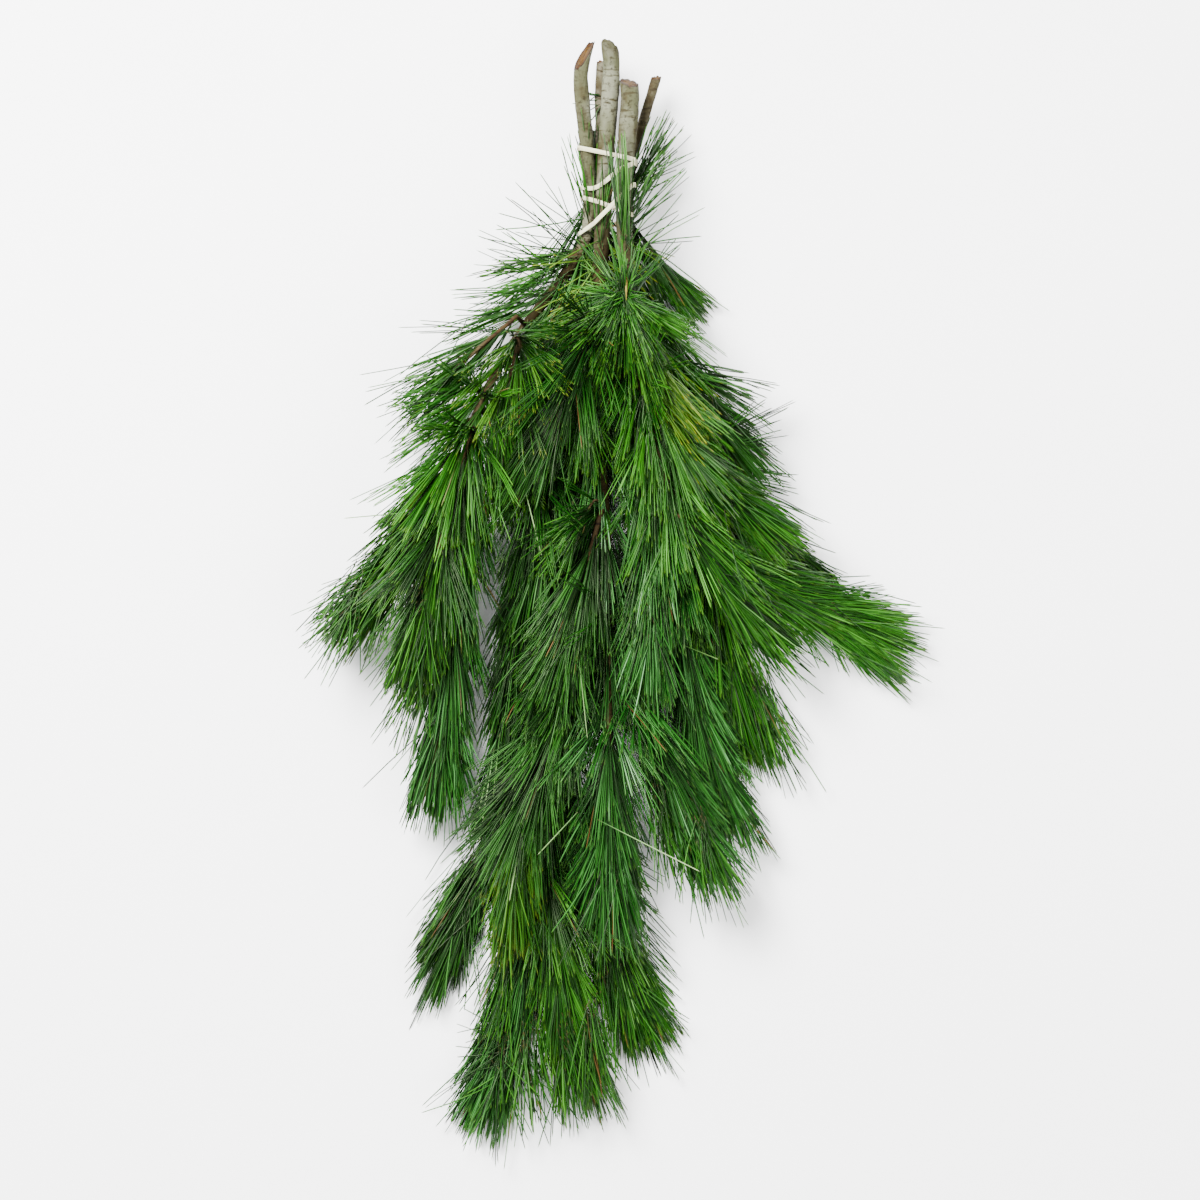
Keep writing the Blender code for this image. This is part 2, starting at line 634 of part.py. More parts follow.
def lay_shoot(bough_name, letter, fork, twig_end, needles_spec, stem, radii, pile, collection):
    """Lay a side shoot: a bare twig from the stem, where it has one, and its brush."""
    stem_route, stem_length = stem
    points, half_width, tone = needles_spec
    s_fork = stem_route.nearest(fork)
    root = stem_route.centre(s_fork)
    stem_radius = np.interp(s_fork, [0.0, stem_length], radii)
    floor = half_width * FLATNESS - SQUASH
    plan = [tuple(root[:2])] + ([twig_end] if twig_end else []) + list(points)
    length = lengths_along(np.array(plan, dtype=float))[-1]
    route = Route(plan, falling(root[2], length, floor))
    joint = route.nearest(points[0])
    name = bough_name + "_needles_" + letter
    radius = (TWIG_SHARE * stem_radius, TWIG_TIP)

    def needles():
        return brush(route, joint + GAP, half_width, name)

    def twig():
        return tube(route, 0.0, joint, radius, TWIG_SIDES)

    shapes = [(needles, False)] + ([(twig, False)] if twig_end else [])
    reach, sideways = fork_reach(stem_route, s_fork, route, (stem_radius, radius[0]))
    held = reach - FORK_MARGIN if twig_end else TOP_FORK
    drape(route, shapes, pile, fork=(root[:2], held))
    if twig_end:
        s = ring_places(0.0 if sideways else reach, joint, TWIG_STEP)
        item = add_tube(bough_name + "_twig_" + letter, route.centre(s),
                        np.interp(s, [0.0, joint], radius), TWIG_SIDES, "twig", collection)
        if sideways:
            cut_from_stem(item, root, route.centre(reach), stem_route.forward(s_fork), stem_radius)
        end_at_brush(item, route, joint)
        pile.add(*twig()[:2])
    add_brush(name, needles(), tone, collection)
    pile.add(*needles()[:2])


def lay_starburst(pile, collection):
    """The shoot that faces the viewer: locks spread round its bud and drape over the pile."""
    rng = random.Random("starburst")
    count = 2 * STAR_LOCKS
    angle = np.arange(count) * math.tau / count + STAR_TURN
    outward = np.stack([np.cos(angle), np.sin(angle)], axis=1)
    reach = np.where(outward[:, 1] > 0, STAR_REACH["up"], STAR_REACH["down"]) * outward[:, 1]
    reach = np.hypot(reach, STAR_REACH["side"] * outward[:, 0])
    reach *= [rng.uniform(*STAR_JITTER) if i % 2 == 0 else STAR_VALLEY for i in range(count)]
    centre = np.array(STAR_CENTRE, dtype=float)
    outlines = [np.tile(centre, (count, 1)) + outward * part
                for part in (STAR_FOOT, STAR_WAIST * reach[:, None], reach[:, None])]
    foot, waist, rim = (slice(k * count, (k + 1) * count) for k in range(3))
    heights = np.full(3 * count, STAR_HEIGHT)
    heights[rim] -= STAR_DROOP

    def shape():
        low, mid_low, edge = (np.hstack([flat, heights[part, None]])
                              for flat, part in zip(outlines, (foot, waist, rim)))
        mid_high = mid_low + (0.0, 0.0, STAR_RISE)
        verts, faces = loft([low, mid_low, edge, mid_high],
                            np.array([*centre, heights[0] + STAR_RISE]))
        ring = np.arange(count)
        owner = [ring, ring + count, ring + 2 * count, ring + count, [0]]
        return verts, faces[:, ::-1], np.concatenate(owner)

    top = pile.spread_top()
    for _ in range(STAR_ROUNDS):
        verts, faces, owner = shape()
        points, tri = surface_points(verts, faces)
        need = top[pile.cells(points)] + CLEARANCE - points[:, 2]
        if need.max() < CLOSE_ENOUGH:
            break
        corners = faces[tri]
        gaps = np.linalg.norm(verts[corners] - points[:, None], axis=2)
        nearest = corners[np.arange(len(tri)), gaps.argmin(axis=1)]
        lift = np.zeros(3 * count)
        np.maximum.at(lift, owner[nearest], need)
        heights += lift
        heights[foot] = heights[foot].max()
        beside = np.maximum(np.roll(heights[rim], 1), np.roll(heights[rim], -1))
        heights[rim] = np.maximum(heights[rim], beside - STAR_STEP)
        heights[waist] = np.maximum(heights[waist], (heights[rim] + heights[foot]) / 2)
    add_brush("bough_4_needles_starburst", shape(), GREEN, collection)
    return heights[0] - GAP


def lay_star_twig(stem, radii, top, collection):
    """The short twig that carries the starburst, from bough 4 up to the foot."""
    route, length = stem
    s_fork = route.nearest(STAR_TWIG[0])
    root = route.centre(s_fork)
    lean = np.array([*STAR_TWIG[1], (root[2] + top) / 2])
    knee = np.array([*STAR_CENTRE, top - STAR_KNEE * STAR_TWIG_RADIUS])
    end = np.array([*STAR_CENTRE, top])
    points = np.array([root, lean, knee, end])
    item = add_tube("bough_4_twig_starburst", points, np.full(len(points), STAR_TWIG_RADIUS),
                    TWIG_SIDES, "twig", collection)
    stem_radius = np.interp(s_fork, [0.0, length], radii)
    cut_from_stem(item, root, lean, route.forward(s_fork), stem_radius)


def lay_neck_tuft(pile, collection):
    """The needles that stand along the neck, over the band."""
    points, half_width, tone = NECK_TUFT
    route = Route(points, ([0.0], [NECK_TUFT_HEIGHT]))

    def needles():
        return brush(route, 0.0, half_width, "neck")

    drape(route, [(needles, False)], pile)
    add_brush("bough_4_needles_neck", needles(), tone, collection)
    pile.add(*needles()[:2])


def wind_band(stems, pile, collection):
    """The rubber band: one closed strand wound tightly round the stems."""
    points = []
    for turn, (left, right) in enumerate(BAND_FRONT):
        next_left = BAND_FRONT[(turn + 1) % BAND_TURNS][0]
        for front, (start, end) in ((True, (left, right)), (False, (right, next_left))):
            for k in range(BAND_POINTS // 2):
                part = k / (BAND_POINTS // 2)
                angle = math.pi * (1.0 - part) if front else -math.pi * part
                outward = np.array([math.cos(angle), math.sin(angle)])
                over = BAND_BULGE if front and turn == BAND_TURNS - 1 else 0.0
                offset = BAND_RADIUS + BAND_AIR + over * math.sin(math.pi * part) ** 0.5
                sides = [hug(stems, start, (-1.0, 0.0), 0.0)[0],
                         hug(stems, end, (1.0, 0.0), 0.0)[0]]
                y = start + (end - start) * part
                for _ in range(BAND_SLOPE_ROUNDS):
                    x = hug(stems, y, outward, offset)[0]
                    share = min(1.0, max(0.0, (x - sides[0]) / (sides[1] - sides[0])))
                    y = start + (end - start) * (share if front else 1.0 - share)
                points.append(hug(stems, y, outward, offset))
    radii = np.full(len(points), BAND_RADIUS)
    item = add_tube("rubber_band", np.array(points), radii, BAND_SIDES, "rubber", collection,
                    cyclic=True)
    item.data.calc_loop_triangles()
    pile.add(np.array([v.co for v in item.data.vertices]) / MM,
             np.array([t.vertices for t in item.data.loop_triangles]))


def hug(stems, y, outward, offset):
    """The outermost point of the stems at y in one direction, (x, y, z), moved out by offset."""
    best = None
    for (route, length), radii in stems:
        s = np.interp(-y, -route.flat[:, 1], route.reach)
        centre = route.centre(s)
        if y > route.flat[0, 1] - BAND_FROM_END:
            continue
        radius = np.interp(s, [0.0, length], radii) + offset
        far = np.dot(centre[[0, 2]], outward) + radius
        if best is None or far > best[0]:
            best = (far, centre[0] + radius * outward[0], centre[2] + radius * outward[1])
    return best[1], y, best[2]


def centre_on_origin(collection):
    """Move the bundle so that the origin is under the middle of its box."""
    corners = np.array([item.matrix_world @ v.co for item in collection.objects
                        for v in item.data.vertices])
    middle = (corners.min(axis=0) + corners.max(axis=0)) / 2
    for item in collection.objects:
        for v in item.data.vertices:
            v.co.x -= middle[0]
            v.co.y -= middle[1]


def main():
    clear_scene()
    collection = bpy.data.collections.new("pine_bough_bundle")
    bpy.context.scene.collection.children.link(collection)
    pile = Pile()
    stems = {}
    for name, bough in BOUGHS.items():
        stems[name] = lay_stem(name, bough, pile, collection)
        if name == "bough_4":
            wind_band([(stems[n], BOUGHS[n]["radii"]) for n in stems], pile, collection)
        for letter, fork, twig_end, needles_spec in bough["shoots"]:
            lay_shoot(name, letter, fork, twig_end, needles_spec, stems[name], bough["radii"],
                      pile, collection)
    lay_neck_tuft(pile, collection)
    top = lay_starburst(pile, collection)
    lay_star_twig(stems["bough_4"], BOUGHS["bough_4"]["radii"], top, collection)
    centre_on_origin(collection)


main()
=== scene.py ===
"""Looks of a tied bundle of pine boughs: loose needles, bark, cut wood, buds and a rubber band.

Needles grow inside the CAD solid of their brush. Wood follows the middle of its CAD solids.
"""
import json
import math

import bpy
import numpy as np
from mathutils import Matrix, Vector, noise


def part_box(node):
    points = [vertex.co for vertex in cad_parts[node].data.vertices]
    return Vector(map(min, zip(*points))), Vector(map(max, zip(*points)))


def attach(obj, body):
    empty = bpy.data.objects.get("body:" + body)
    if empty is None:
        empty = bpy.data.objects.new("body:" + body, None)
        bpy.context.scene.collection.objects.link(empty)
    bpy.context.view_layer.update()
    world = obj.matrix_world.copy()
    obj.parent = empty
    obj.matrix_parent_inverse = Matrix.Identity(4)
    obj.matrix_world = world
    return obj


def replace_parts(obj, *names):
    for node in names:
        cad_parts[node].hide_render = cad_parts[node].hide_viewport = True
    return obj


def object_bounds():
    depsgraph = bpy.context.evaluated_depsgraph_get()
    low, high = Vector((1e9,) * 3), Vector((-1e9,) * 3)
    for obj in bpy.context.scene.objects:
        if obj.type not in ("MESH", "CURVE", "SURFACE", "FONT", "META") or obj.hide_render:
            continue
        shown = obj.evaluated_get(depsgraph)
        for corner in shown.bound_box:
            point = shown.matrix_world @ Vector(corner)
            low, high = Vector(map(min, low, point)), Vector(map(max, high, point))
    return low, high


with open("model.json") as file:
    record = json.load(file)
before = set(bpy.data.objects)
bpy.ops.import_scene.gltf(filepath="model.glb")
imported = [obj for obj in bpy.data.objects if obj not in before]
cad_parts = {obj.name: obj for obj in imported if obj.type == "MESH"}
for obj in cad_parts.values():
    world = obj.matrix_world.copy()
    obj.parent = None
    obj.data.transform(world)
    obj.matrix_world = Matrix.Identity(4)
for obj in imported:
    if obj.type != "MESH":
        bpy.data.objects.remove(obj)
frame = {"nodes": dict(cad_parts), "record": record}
cad_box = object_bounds()
rng = np.random.default_rng(7)

NODES = sorted(frame["nodes"])
SLOT_OF = {part["node"]: part["material_slot"] for part in frame["record"]["subparts"]}
BRUSHES = [n for n in NODES if "_needles" in n]
STEMS = [n for n in NODES if n.endswith("_stem")]
TWIGS = [n for n in NODES if "_twig_" in n]
STAR = "bough_4_needles_starburst"
BAND = "rubber_band"
UP = np.array([0.0, 0.0, 1.0])

# ---- sizes, in metres unless they say otherwise ----

NEEDLE = 0.08  # length of a full-grown one
NEEDLE_RADIUS, THICKNESS = 0.00058, (0.82, 1.12)  # the second as shares of the first
FLATNESS = 0.8  # how thick a needle is one way against the other
NEEDLE_RINGS = (0.0, 0.34, 0.68, 0.965)  # places along it
NEEDLE_TAPER = (0.75, 1.0, 0.95, 0.78)  # its thickness there
IN_BUNDLE, FEWEST_BUNDLES = 5, 4  # needles that grow from one place
SPLAY = (0.0038, 0.0038, 0.0026)  # how far apart the tips of one bundle are
SHORTER = 0.12  # share by which a needle can be shorter than its bundle
ON_FLOOR = 0.0003  # needles lie no lower
HIGHEST, BENT_OVER = 0.002, 0.15  # needles bend over this far above the highest solid
BOW, LIFT = (-0.03, 0.09), 0.05  # outward and up, as shares of a needle
DEAD_SHARE = 0.005  # of the needles

BRUSH_NEEDLES = 21000  # in all the brushes together
LONGEST = 0.72  # the longest needles of a small brush, as a share of its length
IN_WHORL, WHORL = 0.13, (0.9, 1.0)  # share of bundles just below the bud, and where
REACH = (0.73, 1.08)  # of bundles against the brush's longest needles
TO_RIM, OVER_RIM = 0.6, 1.03  # how bundles crowd to the brush's outline
OUTLIERS, OUTLYING = 0.14, 1.3  # share of bundles outside it, and how far
FRINGE = 1.14  # width of the outermost needles against the outline
LOCKS_PER_METRE, FEWEST_LOCKS = 480, 5  # at a brush's end, for each metre of half width
LOCK_PULL = 0.62  # how far needles gather in their lock
PULL_PLACES, PULL_SHARES = (0.3, 0.9), (0.35, 1.0)  # and how much of it along the shoot
LOCK_REACH = (-0.21, 0.1)  # how unlike in length the locks are
PAST_END = 0.015  # how far a lock can stand past the solid
SPLAYED_PER_METRE, SPLAYED_SPREAD = 700, 17  # needles that stand out there, and degrees
STAR_NEEDLES = 1150
STAR_SHARES = (1.0, 0.26, 0.06)  # needles that grow downward, upward and elsewhere
STAR_DOWN, STAR_UP, STAR_SPREAD = -25, (88, 28), 11  # their headings, in degrees

SHOOT_RADIUS, SHOOT_SIDES, SHOOT_STEP = (0.0018, 0.0011), 10, 0.004
BUD, STAR_BUD = (0.009, 0.0016), (0.021, 0.0012)  # length and radius
BUD_SIDES = BUD_RINGS = 12
BARK_SIDES, BARK_STEP = 28, 0.0022
TWIG_SIDES, TWIG_STEP = 14, 0.003
CHIPS = 0.0016  # how far the saw tears the bark back
WHORL_STEP, WHORL_AT, WHORL_LENGTH = 0.135, 0.09, 0.0035  # swellings along the wood
BAND_WIDTH, BAND_THICKNESS, BAND_SIDES = 0.0032, 0.0011, 14
BAND_SINK = 0.0011  # depth of the flat band below the middle of the CAD band
VIEW_WIDTH = 0.864

# ---- what differs between boughs ----

# In these lists a brush goes by the end of its name: 1_tip is bough_1_needles_tip.

# Shares of the usual number of needles.
DENSITY = {"1_d": 0.24, "1_e": 0.1, "3_tip": 0.8, "4_neck": 0.35, "5_e": 0.45, "5_d": 0.9}
TUFTS = ("1_e", "4_neck", "5_e", "5_d")
# Tones that aren't their slot's, also for needles along the wood that bears the brush, unless
# that wood has its own.
BLUISH = ("2_tip", "5_a", "5_f", "2_b", "3_tip", "1_tip")
TONES = {"5_e": "yellow_green", "2_d": "fresh_green", "4_tip": "fresh_green",
         "1_c": "fresh_green", "2_c": "dark"}
WOOD_TONES = {"bough_2_twig_a": "dark", "bough_1_twig_b": "fresh_green",
              "bough_1_twig_c": "yellow_green", "bough_1_stem": "fresh_green"}
PARTED = ("bough_1_stem",)  # its needles leave its top in sight
THIN_STEMS = ("bough_3_stem", "bough_5_stem", "bough_6_stem")
# Places along the bundle between which the bark turns brown, and above which stems are bare.
AMONG_NEEDLES = (0.235, 0.285)
LEAFY_BELOW = {"bough_1": 0.262, "bough_6": 0.3, "bough_5": 0.28}
LEAFY_BELOW_OTHERS = 0.235

# Needles per metre, and their lean from the wood in radians, on the wood between the brushes.
ALONG_OTHERS = (3600, (0.18, 0.66))
ALONG = {
    "bough_1_stem": (2300, (0.35, 1.0)),
    "bough_2_stem": (3000, (0.3, 0.85)),
    "bough_3_twig_c": (1800, (0.1, 0.4)),
    "bough_4_twig_starburst": (0, (0.0, 0.0)),
    "bough_4_stem": (3000, (0.25, 0.85)),
    "bough_2_twig_c": (2600, (0.18, 0.6)),
}
# Loose needles at the neck: the bough whose stem bears them, the place along the bundle, the
# heading in degrees, its spread, how many and how long.
SPRAYS = (
    (4, 0.258, 52, 20, 34, 0.058),
    (5, 0.288, 64, 6, 24, 0.062),
    (5, 0.292, 34, 9, 14, 0.048),
    (6, 0.27, 96, 7, 50, 0.07),
    (1, 0.258, 146, 24, 14, 0.066),
    (1, 0.235, 176, 26, 26, 0.066),
    (2, 0.262, 80, 10, 24, 0.056),
    (1, 0.285, 104, 12, 5, 0.055),
    (3, 0.362, 196, 22, 8, 0.017),
    (1, 0.19, -84, 15, 46, 0.078),
)
# Loose needles on top of the brushes: the brush, the place as shares of its length and half width,
# and the rest as at the neck.
FANS = (
    ("3_tip", 0.62, 0.1, -98, 34, 34, 0.062),
    ("3_tip", 0.6, 0.1, -170, 24, 6, 0.04),
    ("3_b", 0.6, -0.2, -62, 16, 22, 0.064),
    ("3_b", 0.55, 0.7, -82, 10, 50, 0.06),
    ("3_tip", 0.2, -0.8, -105, 9, 60, 0.062),
    ("3_tip", 0.55, 0.6, -84, 12, 50, 0.062),
    ("5_f", 0.45, -0.7, -78, 9, 50, 0.062),
    ("5_tip", 0.5, 0.7, -68, 8, 50, 0.062),
    ("4_tip", 0.35, -0.7, -45, 10, 70, 0.06),
    ("1_tip", 0.45, -0.5, -118, 8, 60, 0.075),
    ("1_a", 0.3, -0.5, -118, 10, 40, 0.06),
    ("2_d", 0.08, 0, -90, 9, 90, 0.062),
    ("1_tip", 0.55, -0.6, -112, 8, 44, 0.075),
    ("3_c", 0.08, -0.9, -124, 4, 30, 0.08),
    ("3_tip", 0.45, 0.8, -82, 6, 30, 0.062),
    ("5_f", 0.66, 0.1, -72, 12, 50, 0.062),
    ("5_tip", 0.53, 0.95, -66, 8, 36, 0.062),
    ("1_b", 0.72, -0.5, -118, 12, 44, 0.06),
    ("3_a", 0.48, -0.8, -84, 6, 20, 0.055),
)
# The same for yellowed needles, from stems and from a brush.
YELLOW_SPRAYS = (
    (1, 0.262, -40, 15, 20, 0.062),
    (1, 0.222, -18, 16, 24, 0.055),
    (2, 0.235, -140, 22, 16, 0.048),
)
YELLOW_FANS = (("4_c", 0.18, -0.55, -49, 8, 46, 0.06),)
# Single needles that lie across the brushes: the brush, the place and heading as above, the
# length and the shade.
STRAYS = (
    ("2_tip", 0.41, -0.3, -27, 0.083, 0.86),
    ("2_tip", 0.38, -0.85, -133, 0.042, 0.8),
    ("5_a", 0.25, -0.3, -22, 0.034, 0.93),
    ("1_b", 0.27, -0.3, -175, 0.055, 0.9),
    ("1_c", 0.45, 0.6, -76, 0.085, 0.88),
    ("6_tip", 0.7, -0.35, -99, 0.07, 1),
    ("6_tip", 0.66, -0.2, -96, 0.064, 1),
    ("6_tip", 0.74, -0.45, -103, 0.06, 1),
    ("2_c", 0.55, 0.5, -84, 0.06, 1),
    ("2_a", 0.2, 0.1, -100, 0.05, 1),
)


# ---- reading the CAD solids ----

SAMPLES = 9000  # points that a brush's form is read from
ENDS, EDGES = (7, 93), (3, 97)  # percentiles for the ends of a brush and the sides of a slice
FULL_END = 0.95  # how wide the last slices are at least, against the one before them
END_MARGIN = 0.0015  # from the ends of a stem or twig to the first and last slice
CAP_DEPTH, CAP_TURN = 0.025, 0.35  # where a sawn face is and how far it faces that way


def triangles(name):
    mesh = frame["nodes"][name].data
    mesh.calc_loop_triangles()
    verts = np.array([v.co for v in mesh.vertices])
    return verts[np.array([t.vertices for t in mesh.loop_triangles])]


def normals(corners):
    """Directions that triangles face, as long as twice their areas."""
    return np.cross(corners[:, 1] - corners[:, 0], corners[:, 2] - corners[:, 0])


def scatter(corners, count):
    """Points spread evenly over triangles."""
    areas = norms(normals(corners))
    chosen = corners[rng.choice(len(corners), count, p=areas / areas.sum())]
    u, v = np.sqrt(rng.random(count))[:, None], rng.random(count)[:, None]
    return (1 - u) * chosen[:, 0] + u * (1 - v) * chosen[:, 1] + u * v * chosen[:, 2]


def norms(vectors):
    return np.linalg.norm(vectors, axis=-1)


def unit(vectors):
    return vectors / norms(vectors)[..., None]


def smoothed(values, passes=1):
    """A running average that keeps the ends."""
    values = np.array(values, dtype=float)
    for _ in range(passes):
        values[1:-1] = (values[:-2] + 2 * values[1:-1] + values[2:]) / 4
    return values


def lengths_along(path):
    return np.append(0, np.cumsum(norms(np.diff(path, axis=0))))


def read_at(spots, places, points):
    """Points of a path at any spots between the places of the given ones."""
    return np.stack([np.interp(spots, places, column) for column in points.T], axis=-1)


def long_axis(offsets):
    return np.linalg.svd(offsets, full_matrices=False)[2][0]


class Form:
    """A brush as its CAD solid has it: a spine, and how wide and high it is there."""

    slices = 14

    def __init__(self, name):
        points = scatter(triangles(name), SAMPLES)
        middle = points[:, :2].mean(axis=0)
        offsets = points[:, :2] - middle
        axis = long_axis(offsets)
        along, across = offsets @ axis, offsets @ np.array([-axis[1], axis[0]])
        low, high = np.percentile(along, ENDS)
        if np.std(across[along < low]) > np.std(across[along > high]):
            axis, along, across = -axis, -along, -across
        self.axis = np.array([*axis, 0.0])
        self.side = np.array([-axis[1], axis[0], 0.0])
        self.start = np.array([*middle, 0.0]) + along.min() * self.axis
        self.length = along.max() - along.min()
        self.longest = min(NEEDLE, LONGEST * self.length)
        along = along - along.min()
        self.at = (np.arange(self.slices) + 0.5) * self.length / self.slices
        rows = []
        slices = (along * self.slices / self.length).astype(int)
        for k in range(self.slices):
            inside = slices == k
            left, right = np.percentile(across[inside], EDGES)
            bottom, top = np.percentile(points[inside, 2], EDGES)
            rows.append(((left + right) / 2, (right - left) / 2,
                         (bottom + top) / 2, (top - bottom) / 2))
        self.rows = smoothed(rows).T.copy()
        width = self.rows[1]
        width[-3:] = np.maximum(width[-3:], FULL_END * width[-4])

    def read(self, t):
        """Sideways place of the spine, half width, level of the spine and half height at t."""
        return [np.interp(t, self.at, row) for row in self.rows]

    def point(self, t, across=0.0, upward=0.0):
        """A point at distance t, with its place across and up as shares of width and height."""
        shift, width, level, height = self.read(t)
        place = self.start + np.asarray(t)[..., None] * self.axis
        place = place + np.asarray(shift + across * width)[..., None] * self.side
        place[..., 2] = level + upward * height
        return place

    def area(self):
        return 2 * self.length * self.rows[1].mean()


def sections(name, step):
    """Centres and radii of a long thin CAD solid, cut end first."""
    corners = triangles(name)
    points = corners.reshape(-1, 3)
    middle = points.mean(axis=0)
    axis = long_axis(points - middle)
    axis *= np.sign(axis[1])
    height = ((corners - middle) @ axis).T
    top, bottom = height.max(), height.min()
    count = max(3, int((top - bottom) / step))
    starts = corners.swapaxes(0, 1)
    ends = np.roll(starts, -1, axis=0)
    rims = []
    for level in np.linspace(top - END_MARGIN, bottom + END_MARGIN, count):
        above, after = height - level, np.roll(height, -1, axis=0) - level
        cut = above * after < 0
        share = (above / (above - after))[cut][:, None]
        rims.append(starts[cut] * (1 - share) + ends[cut] * share)
    centres = np.array([(rim.min(axis=0) + rim.max(axis=0)) / 2 for rim in rims])
    tangents = unit(np.gradient(centres, axis=0))
    radii = []
    for centre, tangent, rim in zip(centres, tangents, rims):
        offset = rim - centre
        offset -= (offset @ tangent)[:, None] * tangent
        radii.append(norms(offset).mean())
    return centres, np.array(radii)


def cut_plane(name):
    """A point on a stem's sawn face, and the direction that it faces."""
    corners = triangles(name)
    across = normals(corners)
    area = norms(across)
    facing = across / np.maximum(area, 1e-12)[:, None]
    middle = corners.mean(axis=1)
    cap = (middle[:, 1] > corners[..., 1].max() - CAP_DEPTH) & (facing[:, 1] > CAP_TURN)
    weight = area[cap] / area[cap].sum()
    return weight @ middle[cap], unit(weight @ facing[cap])


# ---- meshes ----

STEEP = 0.05  # steeper paths have no sideways direction of their own


def linked(name, data):
    item = bpy.data.objects.new(name, data)
    bpy.context.scene.collection.objects.link(item)
    return item


def add_mesh(name, verts, faces, slot, finish):
    """A smooth mesh that rides on the bundle."""
    mesh = bpy.data.meshes.new(name)
    mesh.from_pydata(verts.tolist(), [], faces.tolist(), shade_flat=False)
    mesh.materials.append(MATERIALS[finish])
    item = linked(name, mesh)
    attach(item, "root")
    return item


def frames_along(points):
    """Directions along and across a path: forward, level sideways and up."""
    forward = unit(np.gradient(points, axis=0))
    side = np.cross(forward, UP)
    side[norms(side) < STEEP] = (1.0, 0.0, 0.0)
    side = unit(side - (side * forward).sum(axis=1)[:, None] * forward)
    return forward, side, np.cross(side, forward)


def grid_faces(rows, columns):
    """Triangles of a tube of rows rings, each of columns points."""
    i, j = np.meshgrid(np.arange(rows - 1), np.arange(columns), indexing="ij")
    a, b = i * columns + j, i * columns + (j + 1) % columns
    c, d = a + columns, b + columns
    both = np.stack([np.stack([a, c, b], axis=-1), np.stack([b, c, d], axis=-1)], axis=2)
    return both.reshape(-1, 3)


def fan_faces(middle, first, sides):
    """Triangles from a middle point to the ring of points that starts at first."""
    j = np.arange(sides)
    return np.stack([np.full(sides, middle), first + j, first + (j + 1) % sides], axis=1)


# ---- needles ----

CHART = ((0.01, 0.97), (0.01, 0.98))  # start and size of the needles' map each way
SIDE_SHIFT = 0.004  # between the sides of a needle on it
SHADES = 0.94  # where dead brown begins
DISK_GAP, DISK_RIM, DISK_FRAME, DISK_TRIES = 1.25, 1.08, 1.05, 60
ROOT_DEPTH, BUD_DEPTH = 0.92, 0.78  # of the last roots and the bud, in needles from the end
WIDEST_AT = 0.9  # where along a needle the width is read
STEEPEST = 0.35  # share of a needle that goes along the brush at least
ON_SHOOT, ON_TWIG = 0.0012, 0.002  # from the middle of the wood to the roots
DROOP = 0.004  # how far tips hang down
TUFT_REACH, TUFT_END = (0.62, 1.1), 1.05  # against the length of the solid
TUFT_FOOT, TUFT_WIDTH = (-0.12, 0.12), (0.8, 1.25)
TUFT_BOW, SPRAY_BOW, STAR_BOW = (-0.02, 0.12), (-0.07, 0.07), (0.02, 0.12)
ALONG_REACH = (0.78, 1.08)  # of needles along wood
AROUND, PARTING = (-0.15, 1.15), (-0.6, 0.6)  # round the wood, in half turns and radians
FLAT = 0.5  # how far up they stand against sideways
SPRAY_REACH, SPRAY_RISE = (0.6, 1.1), (-0.06, 0.22)
STAR_BARE, STAR_STRETCH, STAR_NEAR = 0.012, (0.0, 0.35), 0.05


def settled(points):
    """Points brought down where they stand too high."""
    top = cad_box[1][2] + HIGHEST
    points = points.copy()
    over = np.maximum(points[:, 2] - top, 0.0)
    points[:, 2] = np.minimum(points[:, 2], top + BENT_OVER * over)
    return points


def shade_of(shared, number):
    """Shade of each needle from 0 to 1: mostly its bundle's, and dead ones at the top."""
    shades = np.clip(0.75 * shared + 0.25 * rng.random(number), 0.0, 0.999) * SHADES
    dead = rng.random(number) < DEAD_SHARE
    return np.where(dead, rng.uniform(0.965, 1.0, number), shades)


def needle_mesh(name, needles, slot, tone=None):
    """Needles as thin three-sided blades from root to tip, each curved through its bend.

    Their map has the shade across and the place along the needle upward.
    """
    roots, bends, tips, shades = needles
    bends, tips = settled(bends), settled(tips)
    count = len(roots)
    shades = shade_of(shades, count)
    spots = [(1 - t) ** 2 * roots + 2 * t * (1 - t) * bends + t ** 2 * tips
             for t in (*NEEDLE_RINGS, 1.0)]
    forward = unit(tips - roots)
    turn = unit(np.cross(forward, rng.normal(size=(count, 3))))
    other = np.cross(forward, turn)
    size = NEEDLE_RADIUS * rng.uniform(*THICKNESS, count)
    sides = [turn * math.cos(angle) + other * math.sin(angle) * FLATNESS
             for angle in (0.0, math.tau / 3, 2 * math.tau / 3)]
    rings = [spot + side * (size * taper)[:, None]
             for spot, taper in zip(spots, NEEDLE_TAPER) for side in sides]
    verts = np.stack([*rings, spots[-1]], axis=1)
    verts[..., 2] = np.maximum(verts[..., 2], ON_FLOOR)
    tip = 3 * len(NEEDLE_TAPER)
    point = fan_faces(tip, tip - 3, 3)[:, [1, 0, 2]]
    pattern = np.vstack([grid_faces(len(NEEDLE_TAPER), 3), point])
    faces = (np.arange(count)[:, None, None] * (tip + 1) + pattern).reshape(-1, 3)
    finish = "needle_" + (tone or slot.replace("needles_", ""))
    item = add_mesh(name, verts.reshape(-1, 3), faces, slot, finish)
    side = np.array([0, 1, 2] * len(NEEDLE_TAPER) + [1])
    along = np.append(np.repeat(NEEDLE_RINGS, 3), 1.0)
    (left, width), (low, height) = CHART
    u = left + width * shades[:, None] + SIDE_SHIFT * side
    v = np.broadcast_to(low + height * along, u.shape)
    table = np.stack([u, v], axis=-1).reshape(-1, 2)[faces.ravel()]
    layer = item.data.uv_layers.new(name="OFBake")
    layer.data.foreach_set("uv", table.astype(np.float32).ravel())
    return item


